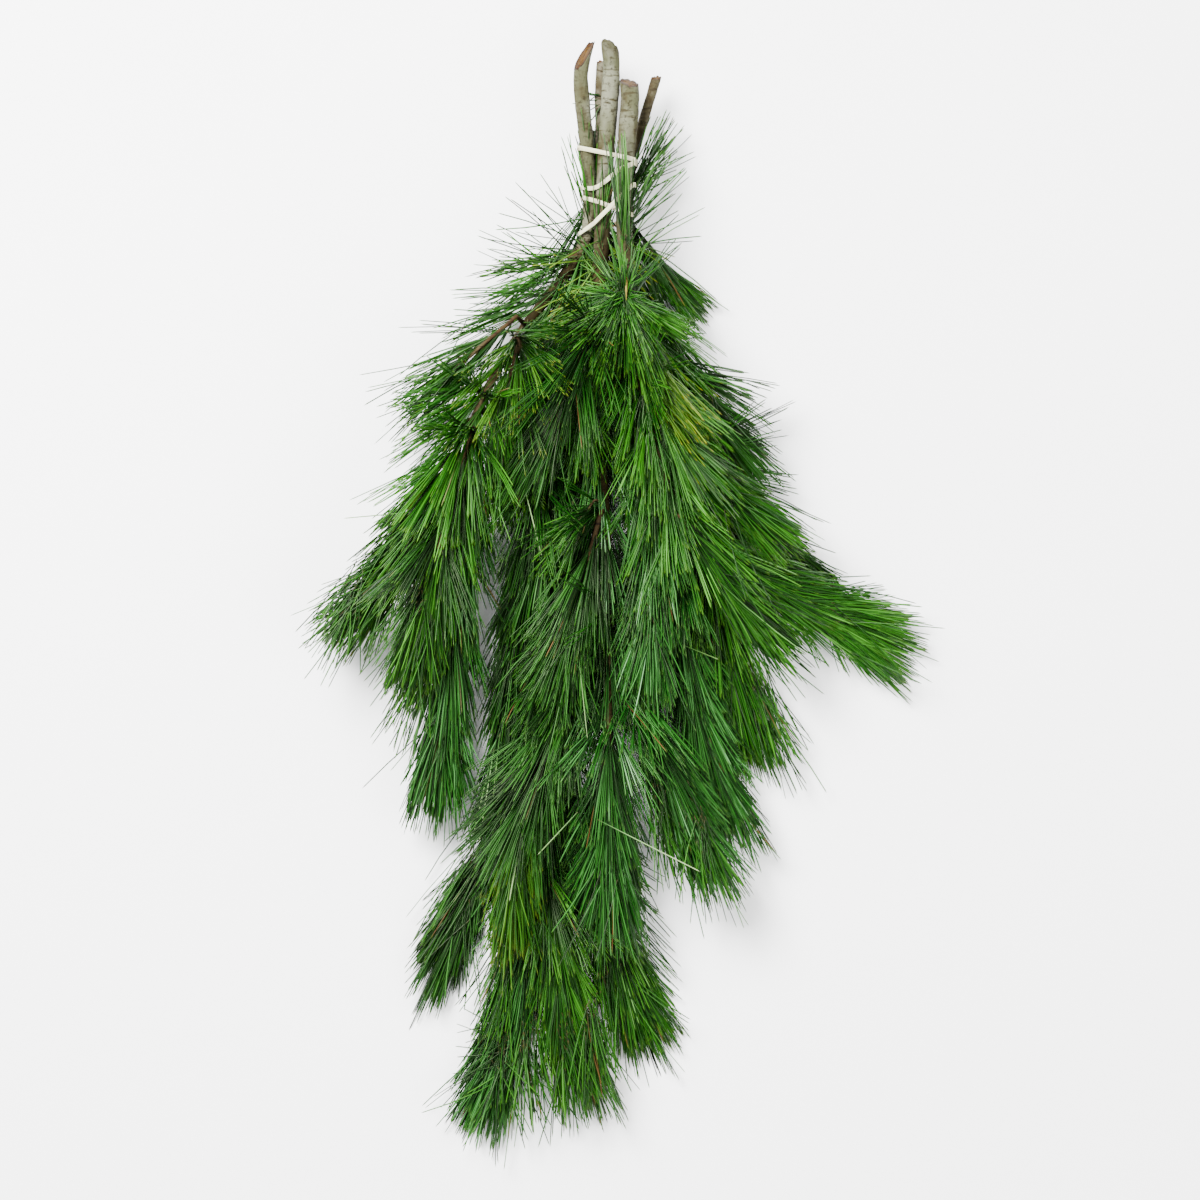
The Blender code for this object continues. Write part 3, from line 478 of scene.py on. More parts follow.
def curve_bends(roots, tips, outward, bow=BOW):
    """Middle points that bow needles outward and lift them a little."""
    reach = norms(tips - roots)
    out = reach * rng.uniform(*bow, len(roots))
    bends = (roots + tips) / 2 + outward * out[:, None]
    bends[:, 2] += reach * rng.uniform(0.0, LIFT, len(roots))
    return bends


def five(values):
    """Values of bundles once for each needle."""
    return np.repeat(values, IN_BUNDLE, axis=0)


def splayed(tips):
    """Tips of bundles as tips of their needles."""
    tips = five(tips)
    return tips + rng.normal(size=tips.shape) * SPLAY


def shortened(roots, tips):
    return tips - (tips - roots) * rng.uniform(0.0, SHORTER, len(tips))[:, None]


def scatter_disk(count):
    """Places spread at random over a disk, none of them close to another."""
    places = np.zeros((1, 2))
    for _ in range(DISK_TRIES * count):
        place = rng.uniform(-DISK_FRAME, DISK_FRAME, 2)
        nearest = np.hypot(*(place - places).T).min()
        if np.hypot(*place) < DISK_RIM and nearest > DISK_GAP / math.sqrt(count):
            places = np.vstack([places, place])
        if len(places) == count:
            break
    return places


def brush_needles(form, count):
    """Needles all round a shoot that runs up the middle of a brush."""
    bundles = max(FEWEST_BUNDLES, int(count / IN_BUNDLE))
    shoot = form.length - ROOT_DEPTH * form.longest
    whorl = rng.random(bundles) < IN_WHORL
    high, anywhere = rng.uniform(*WHORL, bundles), rng.uniform(0.0, 1.0, bundles)
    t_root = shoot * np.where(whorl, high, anywhere)
    reach = form.longest * rng.uniform(*REACH, bundles)
    # The bundle's place in the round outline of the brush, which it shares with its lock.
    angle = rng.uniform(0.0, math.tau, bundles)
    share = rng.random(bundles) ** TO_RIM * OVER_RIM
    share = np.where(rng.random(bundles) < OUTLIERS, share * OUTLYING, share)
    spot = share[:, None] * np.stack([np.cos(angle), np.sin(angle)], axis=1)
    locks = max(FEWEST_LOCKS, int(LOCKS_PER_METRE * form.rows[1].max()))
    middles = scatter_disk(locks)
    lock = norms(spot[:, None] - middles).argmin(axis=1)
    pull = LOCK_PULL * np.interp(t_root, [place * shoot for place in PULL_PLACES], PULL_SHARES)
    spot += (middles[lock] - spot) * (pull * rng.uniform(0.55, 1.0, bundles))[:, None]
    share, angle = np.hypot(*spot.T), np.arctan2(*spot.T[::-1])
    cos, sin = np.cos(angle), np.sin(angle)
    reach *= (1.0 + rng.uniform(*LOCK_REACH, len(middles)))[lock]
    # Its tip, as far along the brush as its length allows.
    _, width, _, height = form.read(t_root + WIDEST_AT * reach)
    out = share * np.hypot(cos * (width * FRINGE), sin * height)
    onward = np.sqrt(np.maximum(reach ** 2 - out ** 2, (STEEPEST * reach) ** 2))
    end = form.length + rng.uniform(0.0, PAST_END, bundles)
    t_tip = np.minimum(t_root + onward, end)
    roots = form.point(t_root)
    tips = form.point(t_tip, FRINGE * share * cos, share * sin)
    outward = unit(form.side * cos[:, None] + UP * sin[:, None])
    roots = five(roots + outward * ON_SHOOT)
    tips = shortened(roots, splayed(tips))
    tips[:, 2] -= rng.uniform(0.0, DROOP, len(tips))
    return roots, curve_bends(roots, tips, five(outward)), tips, five(rng.random(bundles))


def tuft_needles(form, count):
    """Needles that fan out of the foot of a small tuft."""
    bundles = max(FEWEST_BUNDLES, int(count / IN_BUNDLE))
    angle = rng.uniform(0.0, math.tau, bundles)
    share = FRINGE * np.sqrt(rng.random(bundles)) * rng.uniform(*TUFT_WIDTH, bundles)
    t_tip = form.length * np.minimum(rng.uniform(*TUFT_REACH, bundles), TUFT_END)
    roots = form.point(form.length * rng.uniform(*TUFT_FOOT, bundles))
    tips = splayed(form.point(t_tip, share * np.cos(angle), share * np.sin(angle)))
    roots = five(roots) + rng.normal(size=tips.shape) * (0.002, 0.002, 0.001)
    outward = five(unit(form.side * np.cos(angle)[:, None] + 0.5 * UP))
    bends = curve_bends(roots, tips, outward, TUFT_BOW)
    return roots, bends, tips, five(rng.random(bundles))


def path_needles(path, per_metre, lean, parted=False):
    """Needles that stand off a twig or a stem, but none below it."""
    lengths = lengths_along(path)
    bundles = max(2, int(lengths[-1] * per_metre / IN_BUNDLE))
    place = rng.random(bundles) * lengths[-1]
    forward, side, up, foot = (read_at(place, lengths, points)
                               for points in (*frames_along(path), path))
    angle = rng.uniform(AROUND[0] * math.pi, AROUND[1] * math.pi, bundles)
    if parted:
        either = np.where(rng.random(bundles) < 0.5, 0.0, math.pi)
        angle = either + rng.uniform(*PARTING, bundles)
    tilt = rng.uniform(*lean, bundles)[:, None]
    outward = side * np.cos(angle)[:, None] + up * (np.sin(angle) * FLAT)[:, None]
    heading = forward * np.cos(tilt) + outward * np.sin(tilt)
    reach = NEEDLE * rng.uniform(*ALONG_REACH, bundles)[:, None]
    roots = five(foot + outward * ON_TWIG)
    splay = rng.normal(size=roots.shape) * SPLAY
    tips = shortened(roots, roots + five(heading * reach) + splay)
    return roots, curve_bends(roots, tips, five(outward)), tips, five(rng.random(bundles))


def scattered(place, count):
    return place + rng.normal(size=(count, 3)) * (0.003, 0.01, 0.002)


def on_stem(path, level, count):
    """Places on top of a stem about a level along the bundle."""
    path = path[path[:, 1].argsort()]
    places = read_at(level + rng.normal(0.0, 0.01, count), path[:, 1], path)
    return places + (0.0, 0.0, 0.004) + rng.normal(size=(count, 3)) * 0.0012


def spray_needles(roots, heading, spread, length):
    """Needles about a heading, in degrees."""
    count = len(roots)
    bearing = np.radians(heading + rng.normal(0.0, spread, count))
    rise = rng.uniform(*SPRAY_RISE, count)
    away = np.stack([np.cos(bearing), np.sin(bearing), rise], axis=1)
    tips = roots + unit(away) * (length * rng.uniform(*SPRAY_REACH, count))[:, None]
    side = np.stack([-away[:, 1], away[:, 0], np.zeros(count)], axis=1)
    bends = curve_bends(roots, tips, side, SPRAY_BOW)
    return roots, bends, tips, rng.random(count)


def splayed_needles(form):
    """A few needles that stand out at the end of a brush."""
    root, ahead = form.point(form.length - form.longest * np.array([0.95, 0.8]))
    heading = math.degrees(math.atan2(ahead[1] - root[1], ahead[0] - root[0]))
    count = int(SPLAYED_PER_METRE * form.rows[1].max())
    roots = scattered(root + (0.0, 0.0, 0.002), count)
    return spray_needles(roots, heading, SPLAYED_SPREAD, form.longest)


def stray_needle(form, along, across, heading, length, shade):
    root = form.point(np.array([along * form.length]), across, 1.15)
    bearing = math.radians(heading)
    tip = root + np.array([[math.cos(bearing), math.sin(bearing), -0.05]]) * length
    return root, (root + tip) / 2 + (0.0, 0.0, 0.06 * length), tip, np.array([shade])


def stacked(groups):
    return [np.concatenate(column) for column in zip(*groups)]


def grow_starburst():
    """Needles from one bud over the top of the starburst's solid."""
    corners = triangles(STAR)
    top = corners[normals(corners)[:, 2] > 0]
    low, high = np.array(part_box(STAR))
    hub = top.reshape(-1, 3)
    hub = hub[norms((hub - hub.mean(axis=0))[:, :2]).argmin()]
    bundles = STAR_NEEDLES // IN_BUNDLE
    spots = scatter(top, bundles * 4)
    far = norms(spots[:, :2] - hub[:2])
    bearing = np.degrees(np.arctan2(spots[:, 1] - hub[1], spots[:, 0] - hub[0]))
    upward = np.abs(bearing - STAR_UP[0]) < STAR_UP[1]
    kept = np.select([bearing < STAR_DOWN, upward], STAR_SHARES[:2], STAR_SHARES[2])
    chosen = np.flatnonzero((far > STAR_BARE) & (rng.random(len(spots)) < kept))[:bundles]
    x, y, z = (spots[chosen] - hub).T
    turn = np.radians(rng.normal(0.0, STAR_SPREAD, len(chosen))) * upward[chosen]
    away = np.stack([x * np.cos(turn) - y * np.sin(turn),
                     x * np.sin(turn) + y * np.cos(turn), z], axis=1)
    flat = norms(away[:, :2])[:, None]
    stretch = rng.uniform(*STAR_STRETCH, len(away))[:, None] * (STAR_NEAR / (flat + STAR_NEAR))
    spots = hub + away + away * stretch
    spots[:, :2] = np.clip(spots, low - 0.002, high + 0.002)[:, :2]
    tips = splayed(spots)
    tips[:, 2] += rng.uniform(-0.002, 0.005, len(tips))
    roots = hub + rng.normal(size=tips.shape) * (0.002, 0.004, 0.001)
    roots[:, 2] = hub[2] - 0.004
    bends = curve_bends(roots, tips, UP, STAR_BOW)
    needles = roots, bends, tips, five(rng.random(len(spots)))
    return needle_mesh(STAR + "_grown", needles, SLOT_OF[STAR]), hub


# ---- wood ----

STEM_STEP, TWIG_SLICE = 0.006, 0.005  # between the slices that wood is read from
STEM_RUN_ON = 0.014  # beyond its end, so that the saw can cut it
DEEPEST_CUT = 0.05  # how far down the stem the saw can come
CUT_PASSES = 12  # steps in which each side of the bark finds the sawn face
INTO_BRUSH = 0.006  # how far a twig runs on
FOOT_SHARES = (0.0, 0.35, 0.7)  # of a shoot's way from the wood that bears it
RIM_SHARES = (0.985, 0.9, 0.6, 0.3)  # rings of a sawn face
RIM_LIFT = (0.00005, 0.0001, 0.00012, 0.00012)  # of each above the stem's end


def bark_relief(place, around, along, radius):
    """How far bark stands out at a place, with scales, leaf scars and whorls."""
    rough = noise.noise(Vector(place) * 260) * 0.5 + noise.noise(Vector(place) * 90)
    ridge = noise.noise(Vector((math.cos(around) * 2.2, math.sin(around) * 2.2, along * 55)))
    scar = math.cos(around * 3 + along * 900) * math.cos(along * 1500)
    whorl = math.exp(-((along % WHORL_STEP - WHORL_AT) / WHORL_LENGTH) ** 2)
    return radius * (0.035 * rough + 0.045 * ridge + 0.02 * scar + 0.1 * whorl)


def wood_tube(centres, radii, sides, step, plane=None):
    """Rings of a stem or twig with bark relief. The first lies on the sawn face if any."""
    lengths = lengths_along(centres)
    _, side, up = frames_along(centres)
    angles = np.arange(sides) * math.tau / sides

    def at(s, angle):
        out = read_at(s, lengths, side) * np.cos(angle)[..., None]
        out = out + read_at(s, lengths, up) * np.sin(angle)[..., None]
        return read_at(s, lengths, centres), out

    starts = np.zeros(sides)
    if plane is not None:
        point, normal = plane
        for _ in range(CUT_PASSES):
            centre, out = at(starts, angles)
            spot = centre + out * radii[0]
            starts = np.clip(starts + (spot - point) @ normal / normal[1], 0.0, DEEPEST_CUT)
        starts = starts + CHIPS * rng.random(sides) ** 2
    rows = max(3, int(lengths[-1] / step))
    share = np.linspace(0.0, 1.0, rows)[:, None]
    s = starts + (lengths[-1] - starts) * share
    angle = np.broadcast_to(angles, s.shape)
    centre, out = at(s, angle)
    radius = np.interp(s, lengths, radii)
    spots = (centre + out * radius[..., None]).reshape(-1, 3)
    relief = np.array([bark_relief(*spot) for spot in
                       zip(spots, angle.ravel(), s.ravel(), radius.ravel())]).reshape(s.shape)
    relief[0] = 0.0
    return centre + out * (radius + relief)[..., None]


def close_rings(rings):
    """Vertices and triangles of a tube with closed ends."""
    count, sides = rings.shape[:2]
    ends = np.array([rings[0].mean(axis=0), rings[-1].mean(axis=0)])
    start = fan_faces(count * sides, 0, sides)
    end = fan_faces(count * sides + 1, (count - 1) * sides, sides)[:, [0, 2, 1]]
    faces = np.vstack([grid_faces(count, sides), start, end])
    return np.vstack([rings.reshape(-1, 3), ends]), faces


def stem_mesh(name):
    centres, radii = sections(name, STEM_STEP)
    plane = cut_plane(name)
    outward = unit(centres[0] - centres[2])
    centres = smoothed(np.vstack([centres[0] + outward * STEM_RUN_ON, centres]), 3)
    radii = smoothed(np.concatenate([[radii[1]], radii]), 6)
    radii[:4] = radii[4]
    rings = wood_tube(centres, radii, BARK_SIDES, BARK_STEP, plane)
    finish = "thin_stem_bark" if name in THIN_STEMS else "stem_bark"
    item = add_mesh(name + "_bark", *close_rings(rings), SLOT_OF[name], finish)
    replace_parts(item, name)
    add_cut_face(name, rings[0], plane[1])
    return centres


def add_cut_face(name, rim, normal):
    """Rings of wood inside the bark, just proud of the stem's end."""
    middle = rim.mean(axis=0)
    rows = [middle + (rim - middle) * share + normal * lift
            for share, lift in zip(RIM_SHARES, RIM_LIFT)]
    verts = np.vstack([*rows, middle + normal * RIM_LIFT[-1]])
    sides, rings = len(rim), len(RIM_SHARES)
    fan = fan_faces(len(verts) - 1, (rings - 1) * sides, sides)
    faces = np.vstack([grid_faces(rings, sides)[:, ::-1], fan])
    if np.cross(rim[1] - middle, rim[0] - middle) @ normal > 0:
        faces = faces[:, ::-1]
    item = add_mesh(name + "_cut_face", verts, faces, SLOT_OF[name], "cut_wood")
    heart = item.data.attributes.new("heart", "FLOAT", "POINT")
    values = np.concatenate([np.full(sides, share) for share in RIM_SHARES] + [[0.0]])
    heart.data.foreach_set("value", values.astype(np.float32))


def twig_mesh(name, stem_centres):
    """A twig, carried on into its stem and into its brush."""
    centres, radii = sections(name, TWIG_SLICE)
    root = stem_centres[norms(stem_centres - centres[0]).argmin()] + (0.0, 0.002, 0.0)
    ahead = centres[-1] + unit(centres[-1] - centres[-2]) * INTO_BRUSH
    centres = smoothed(np.vstack([root, (root + centres[0]) / 2, centres, ahead]), 2)
    radii = np.concatenate([[radii[1] * 1.3, radii[1] * 1.12], radii, [radii[-2]]])
    rings = wood_tube(centres, smoothed(radii, 4), TWIG_SIDES, TWIG_STEP)
    item = add_mesh(name + "_bark", *close_rings(rings), SLOT_OF[name], "twig_bark")
    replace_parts(item, name)
    return centres


def bud_rings(place, direction, length, radius):
    """A pointed bud with overlapping scales."""
    across = unit(np.cross(direction, (0.3, 0.2, 1.0)))
    upward = np.cross(across, direction)
    rings = []
    for t in np.linspace(0.0, 1.0, BUD_RINGS):
        swell = math.sin(math.pi * (0.12 + 0.8 * t)) ** 0.8 * (1 - 0.55 * t)
        scale = 1.0 + 0.1 * math.sin(t * 22)
        angle = np.arange(BUD_SIDES) * math.tau / BUD_SIDES + t * 2.4
        size = radius * swell * scale * (1 + 0.07 * np.cos(angle * 3))
        rings.append(place + direction * length * t + across * (size * np.cos(angle))[:, None]
                     + upward * (size * np.sin(angle))[:, None])
    return np.array(rings)


def from_foot(bearer, centres):
    """A path that starts at the nearest place of the wood that bears it."""
    foot = bearer[norms(bearer - centres[0]).argmin()]
    return np.vstack([foot + (centres[0] - foot) * share for share in FOOT_SHARES] + [centres])


def shoot_mesh(name, form, bearer=None):
    """The shoot that the needles of a brush grow on, and its bud."""
    shoot = form.length - BUD_DEPTH * form.longest
    t = np.linspace(-0.003, shoot, max(4, int(shoot / 0.006)))
    centres = form.point(np.maximum(t, 0.0)) + np.minimum(t, 0.0)[:, None] * form.axis
    if bearer is not None:
        centres = from_foot(bearer, centres)
    slim = min(1.0, form.length / 0.12)
    radii = np.linspace(SHOOT_RADIUS[0] * slim, SHOOT_RADIUS[1] * slim, len(centres))
    tube = wood_tube(centres, radii, SHOOT_SIDES, SHOOT_STEP)
    bud = bud_rings(centres[-1], unit(centres[-1] - centres[-2]), BUD[0] * slim, BUD[1] * slim)
    (verts, faces), (bud_verts, bud_faces) = close_rings(tube), close_rings(bud)
    verts, faces = np.vstack([verts, bud_verts]), np.vstack([faces, bud_faces + len(verts)])
    add_mesh(name + "_shoot", verts, faces, "twig", "twig_bark")


def stalk_mesh(name, form, bearer):
    """The stalk of a small tuft."""
    centres = from_foot(bearer, form.point(np.array([0.0, 0.08 * form.length])))
    radii = np.linspace(*SHOOT_RADIUS, len(centres))
    tube = wood_tube(centres, radii, SHOOT_SIDES, SHOOT_STEP)
    add_mesh(name + "_stalk", *close_rings(tube), "twig", "twig_bark")


# ---- rubber band ----

RING_EDGE = 0.0015  # edges of the CAD band shorter than this go round it
BAND_SPANS = 5  # places along the flat band for each ring of the CAD band


def band_path():
    """Centre line of the CAD band, from ring to ring of close vertices."""
    corners = triangles(BAND)
    places, index = np.unique(np.round(corners.reshape(-1, 3), 6), axis=0, return_inverse=True)
    index = index.reshape(-1, 3)
    pairs = np.vstack([index[:, [0, 1]], index[:, [1, 2]], index[:, [2, 0]]])
    edges = np.unique(np.sort(pairs, axis=1), axis=0)
    length = norms(places[edges[:, 0]] - places[edges[:, 1]])
    ring = np.arange(len(places))
    for a, b in edges[length < RING_EDGE]:
        ring[ring == ring[b]] = ring[a]
    names, ring = np.unique(ring, return_inverse=True)
    centres = np.array([places[ring == k].mean(axis=0) for k in range(len(names))])
    links = np.vstack([ring[edges], ring[edges[:, ::-1]]])
    order = [0]
    while len(order) < len(names):
        onward = set(links[links[:, 0] == order[-1], 1]) - set(order)
        if not onward:
            break
        order.append(min(onward))
    return centres[order]


def closed_curve(points, per_span):
    a, b = np.roll(points, 1, axis=0), points
    c, d = np.roll(points, -1, axis=0), np.roll(points, -2, axis=0)
    spans = [0.5 * (2 * b + (c - a) * t + (2 * a - 5 * b + 4 * c - d) * t ** 2
                    + (3 * b - a - 3 * c + d) * t ** 3) for t in np.arange(per_span) / per_span]
    return np.stack(spans, axis=1).reshape(-1, 3)


def rounded(value, power, size):
    """Half a side of a section with round corners, from a sine or cosine."""
    return math.copysign(abs(value) ** power, value) * size / 2


def band_mesh():
    """A flat rubber band along the CAD band, its broad side on the stems."""
    path = closed_curve(band_path(), BAND_SPANS)
    middle = np.array([path[:, 0].mean(), 0.0, path[:, 2].mean()])
    forward = unit(np.roll(path, -1, axis=0) - np.roll(path, 1, axis=0))
    outward = (path - middle) * (1.0, 0.0, 1.0)
    outward = unit(outward - (outward * forward).sum(axis=1)[:, None] * forward)
    across = np.cross(outward, forward)
    path = path - outward * BAND_SINK
    angles = (np.arange(BAND_SIDES) + 0.5) * math.tau / BAND_SIDES
    profile = [(rounded(math.cos(a), 0.5, BAND_WIDTH), rounded(math.sin(a), 0.7, BAND_THICKNESS))
               for a in angles]
    rings = np.stack([path + across * w + outward * h for w, h in profile], axis=1)
    verts = rings.reshape(-1, 3)
    faces = grid_faces(len(rings) + 1, BAND_SIDES) % len(verts)
    item = add_mesh("rubber_band_flat", verts, faces, SLOT_OF[BAND], "band_rubber")
    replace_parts(item, BAND)

# ---- finishes ----

class Finish:
    """A Principled material, with short calls for the nodes behind its sockets."""

    def __init__(self, name, **values):
        self.material = bpy.data.materials.new(name)
        self.material.use_nodes = True
        self.tree = self.material.node_tree
        self.shader = self.tree.nodes["Principled BSDF"]
        self.fill(self.shader, values)

    def node(self, kind, settings=(), **inputs):
        made = self.tree.nodes.new("ShaderNode" + kind)
        for name, value in dict(settings).items():
            setattr(made, name, value)
        self.fill(made, inputs)
        return made

    def fill(self, node, values):
        for name, value in values.items():
            self.connect(node.inputs[name.replace("_", " ")], value)

    def connect(self, socket, value):
        if isinstance(value, bpy.types.NodeSocket):
            self.tree.links.new(value, socket)
        else:
            socket.default_value = (*value, 1.0) if socket.type == "RGBA" else value

    def ramp(self, factor, stops):
        made = self.node("ValToRGB", Fac=factor)
        elements = made.color_ramp.elements
        while len(elements) < len(stops):
            elements.new(0.5)
        for element, (place, *color) in zip(elements, stops):
            element.position = place
            element.color = (*color, 1.0)
        return made.outputs["Color"]

    def fade(self, factor, start, end, dark=0.0, light=1.0):
        """Greys from one place of a factor to another."""
        return self.ramp(factor, [(start, dark, dark, dark), (end, light, light, light)])

    def mix(self, factor, a, b, blend="MIX"):
        made = self.node("Mix", {"data_type": "RGBA", "blend_type": blend}, Factor=factor)
        self.connect(made.inputs[6], a)
        self.connect(made.inputs[7], b)
        return made.outputs[2]

    def noise(self, scale, detail=4.0, vector=None, roughness=0.55):
        return self.node("TexNoise", Scale=scale, Detail=detail, Roughness=roughness,
                         Vector=vector or self.place()).outputs["Fac"]

    def place(self):
        return self.node("TexCoord").outputs["Object"]

    def stretched(self, *scale):
        return self.node("Mapping", Vector=self.place(), Scale=scale).outputs["Vector"]

    def bump(self, height, strength, distance):
        made = self.node("Bump", Height=height, Strength=strength, Distance=distance)
        self.fill(self.shader, {"Normal": made.outputs["Normal"]})

    def finished(self, color):
        self.fill(self.shader, {"Base Color": color})
        return self.material


def needle_finish(name, tip, *shades):
    """A shade for each needle, painted shade that darkens it toward its root deep in the brush,
    and a warmer tip.
    """
    finish = Finish(name, Roughness=0.4, Specular_IOR_Level=0.24, Specular_Tint=(0.78, 1, 0.6))
    chart = finish.node("UVMap", {"uv_map": "OFBake"}).outputs["UV"]
    axes = finish.node("SeparateXYZ", Vector=chart).outputs
    body = finish.ramp(axes["X"], [*shades, DEAD])
    # Painted shade: each needle darkens toward its root, where shadow falls deep in the brush.
    body = finish.mix(1.0, body, finish.ramp(axes["Y"], PAINTED_ROOT_SHADE), "MULTIPLY")
    body = finish.mix(finish.fade(axes["Y"], 0.0, 0.07, 1.0, 0.0), body, SHEATH)
    return finish.finished(finish.mix(finish.fade(axes["Y"], 0.9, 1.0), body, tip))


def bark_finish(name, ground, brown, pale, dark, marks=None, stained=None):
    """Brown and pale patches, marks across the bark, dark scales, and a stain among needles."""
    finish = Finish(name, Roughness=0.8, Specular_IOR_Level=0.08)
    patches = finish.fade(finish.noise(55, 5), 0.44, 0.6)
    long_patches = finish.noise(34, 4, finish.stretched(1, 0.6, 1.3))
    across = finish.noise(1, 3, finish.stretched(70, 330, 70))
    fine = finish.noise(300, 6, None, 0.7)
    base = finish.mix(patches, ground, brown)
    base = finish.mix(finish.fade(long_patches, 0.5, 0.64), base, pale)
    base = finish.mix(finish.fade(across, 0.56, 0.66), base, marks or dark)
    base = finish.mix(finish.fade(fine, 0.52, 0.66, 0.0, 0.8), base, dark)
    if stained:
        level = finish.node("SeparateXYZ", Vector=finish.place()).outputs["Y"]
        start, end = AMONG_NEEDLES
        among = finish.node("MapRange", {"interpolation_type": "SMOOTHSTEP"}, Value=level,
                            From_Min=start, From_Max=end, To_Min=1.0, To_Max=0.0)
        base = finish.mix(among.outputs["Result"], base, stained, "MULTIPLY")
    finish.bump(fine, 0.7, 0.0008)
    return finish.finished(base)


def cut_wood_finish(name):
    """Growth rings from the pith to the bark rim, with an orange stain of resin."""
    finish = Finish(name, Roughness=0.6, Specular_IOR_Level=0.08)
    heart = finish.node("Attribute", {"attribute_name": "heart"}).outputs["Fac"]
    wobble = finish.noise(500, 3)
    shifted = finish.node("Math", {"operation": "MULTIPLY_ADD"})
    for socket, value in zip(shifted.inputs, (wobble, 0.16, heart)):
        finish.connect(socket, value)
    layers = finish.ramp(shifted.outputs[0], GROWTH_RINGS)
    finish.bump(wobble, 0.3, 0.0004)
    stain = finish.fade(finish.noise(160, 4), 0.45, 0.75, 0.0, 0.7)
    return finish.finished(finish.mix(stain, layers, RESIN))


def rubber_finish(name):
    finish = Finish(name, Roughness=0.42, Subsurface_Weight=0.1)
    finish.bump(finish.noise(700, 3), 0.15, 0.0003)
    return finish.finished(finish.ramp(finish.noise(70, 4), RUBBER_PATCHES))


def paper_finish(name):
    finish = Finish(name, Roughness=0.9, Specular_IOR_Level=0.1)
    return finish.finished(finish.ramp(finish.noise(3, 2), PAPER))


# Colours are linear. Where there are four numbers, the first is the colour's place in a ramp.
DEAD = (0.96, 0.075, 0.03, 0.008)
# Painted shade along a needle, darkest at its root, where shadow falls deep in the brush.
PAINTED_ROOT_SHADE = ((0.05, 0.09, 0.22, 0.1), (0.45, 0.6, 0.72, 0.6), (0.75, 1, 1, 1))
SHEATH = (0.035, 0.022, 0.006)
GROWTH_RINGS = (
    (0.1, 0.01, 0.003, 0.0001), (0.22, 0.04, 0.018, 0.0002), (0.42, 0.062, 0.03, 0.0004),
    (0.5, 0.016, 0.006, 0.0002), (0.62, 0.05, 0.024, 0.0003), (0.76, 0.012, 0.004, 0.0002),
    (0.86, 0.034, 0.013, 0.0003), (1, 0.003, 0.0015, 0.0005))
RESIN = (0.03, 0.01, 0.0004)
RUBBER_PATCHES = ((0.3, 0.38, 0.34, 0.19), (0.7, 0.55, 0.52, 0.34))
BARK_STAIN = (0.46, 0.35, 0.2)
PAPER = ((0.3, 0.9, 0.9, 0.9), (0.7, 0.92, 0.92, 0.92))
# For each tone of needles, the colour of their tips and then their shades.
NEEDLE_TONES = {
    "green": (
        (0.034, 0.088, 0.004), (0, 0.0001, 0.004, 0.0001), (0.35, 0.0014, 0.024, 0.0002),
        (0.65, 0.009, 0.07, 0.0005), (0.86, 0.034, 0.13, 0.008), (0.93, 0.09, 0.2, 0.055)),
    "fresh_green": (
        (0.045, 0.11, 0.004), (0, 0.0004, 0.008, 0.0001), (0.35, 0.003, 0.04, 0.0004),
        (0.65, 0.015, 0.1, 0.001), (0.86, 0.055, 0.185, 0.022), (0.93, 0.125, 0.25, 0.085)),
    "dark": (
        (0.018, 0.058, 0.004), (0, 0.0001, 0.003, 0.0001), (0.4, 0.0008, 0.016, 0.0002),
        (0.72, 0.005, 0.046, 0.001), (0.88, 0.026, 0.105, 0.014), (0.93, 0.075, 0.165, 0.06)),
    "blue_green": (
        (0.032, 0.085, 0.01), (0, 0.0001, 0.004, 0.0002), (0.35, 0.0012, 0.021, 0.001),
        (0.65, 0.009, 0.072, 0.005), (0.84, 0.044, 0.15, 0.036), (0.92, 0.11, 0.23, 0.105)),
    "yellow_green": (
        (0.08, 0.1, 0.006), (0, 0.0006, 0.009, 0.0001), (0.3, 0.004, 0.038, 0.0002),
        (0.6, 0.018, 0.082, 0.0008), (0.88, 0.052, 0.135, 0.008), (0.93, 0.095, 0.18, 0.04)),
    "yellow": (
        (0.19, 0.17, 0.004), (0, 0.004, 0.022, 0.0002), (0.35, 0.022, 0.062, 0.0006),
        (0.7, 0.06, 0.12, 0.002), (0.9, 0.12, 0.18, 0.02)),
    "pale": (
        (0.34, 0.46, 0.2), (0, 0.004, 0.03, 0.001), (0.7, 0.1, 0.2, 0.05),
        (0.9, 0.34, 0.46, 0.22)),
}
# For each kind of bark, its colours as the finish takes them and its stain.
BARKS = {
    "stem_bark": ((0.05, 0.052, 0.026), (0.027, 0.021, 0.008), (0.108, 0.11, 0.074),
                  (0.01, 0.007, 0.003), (0.026, 0.022, 0.01), BARK_STAIN),
    "thin_stem_bark": ((0.048, 0.042, 0.021), (0.026, 0.019, 0.008), (0.12, 0.112, 0.078),
                       (0.008, 0.006, 0.002), (0.02, 0.015, 0.007), BARK_STAIN),
    "twig_bark": ((0.03, 0.017, 0.006), (0.018, 0.009, 0.003), (0.056, 0.042, 0.019),
                  (0.008, 0.004, 0.002)),
    "bud_scales": ((0.085, 0.06, 0.008), (0.055, 0.03, 0.005), (0.13, 0.105, 0.02),
                   (0.03, 0.015, 0.003)),
}
MATERIALS = [needle_finish("needle_" + tone, *colors) for tone, colors in NEEDLE_TONES.items()]
MATERIALS += [bark_finish(name, *colors) for name, colors in BARKS.items()]
MATERIALS += [cut_wood_finish("cut_wood"), rubber_finish("band_rubber")]
MATERIALS = {material.name: material for material in MATERIALS}


# ---- the bundle ----

FAN_HEIGHT = 0.8  # of a fan's root, as a share of half the brush's height


def bough(name):
    return name[:len("bough_1")]


def build_wood():
    """Stems and twigs. Their centre lines are passed on, thick end first."""
    paths = {name: stem_mesh(name) for name in STEMS}
    paths.update({name: twig_mesh(name, paths[bough(name) + "_stem"]) for name in TWIGS})
    return paths


def brush_of(wood):
    """The brush that a twig or a stem ends in."""
    return wood.replace("_twig_", "_needles_").replace("_stem", "_needles_tip")


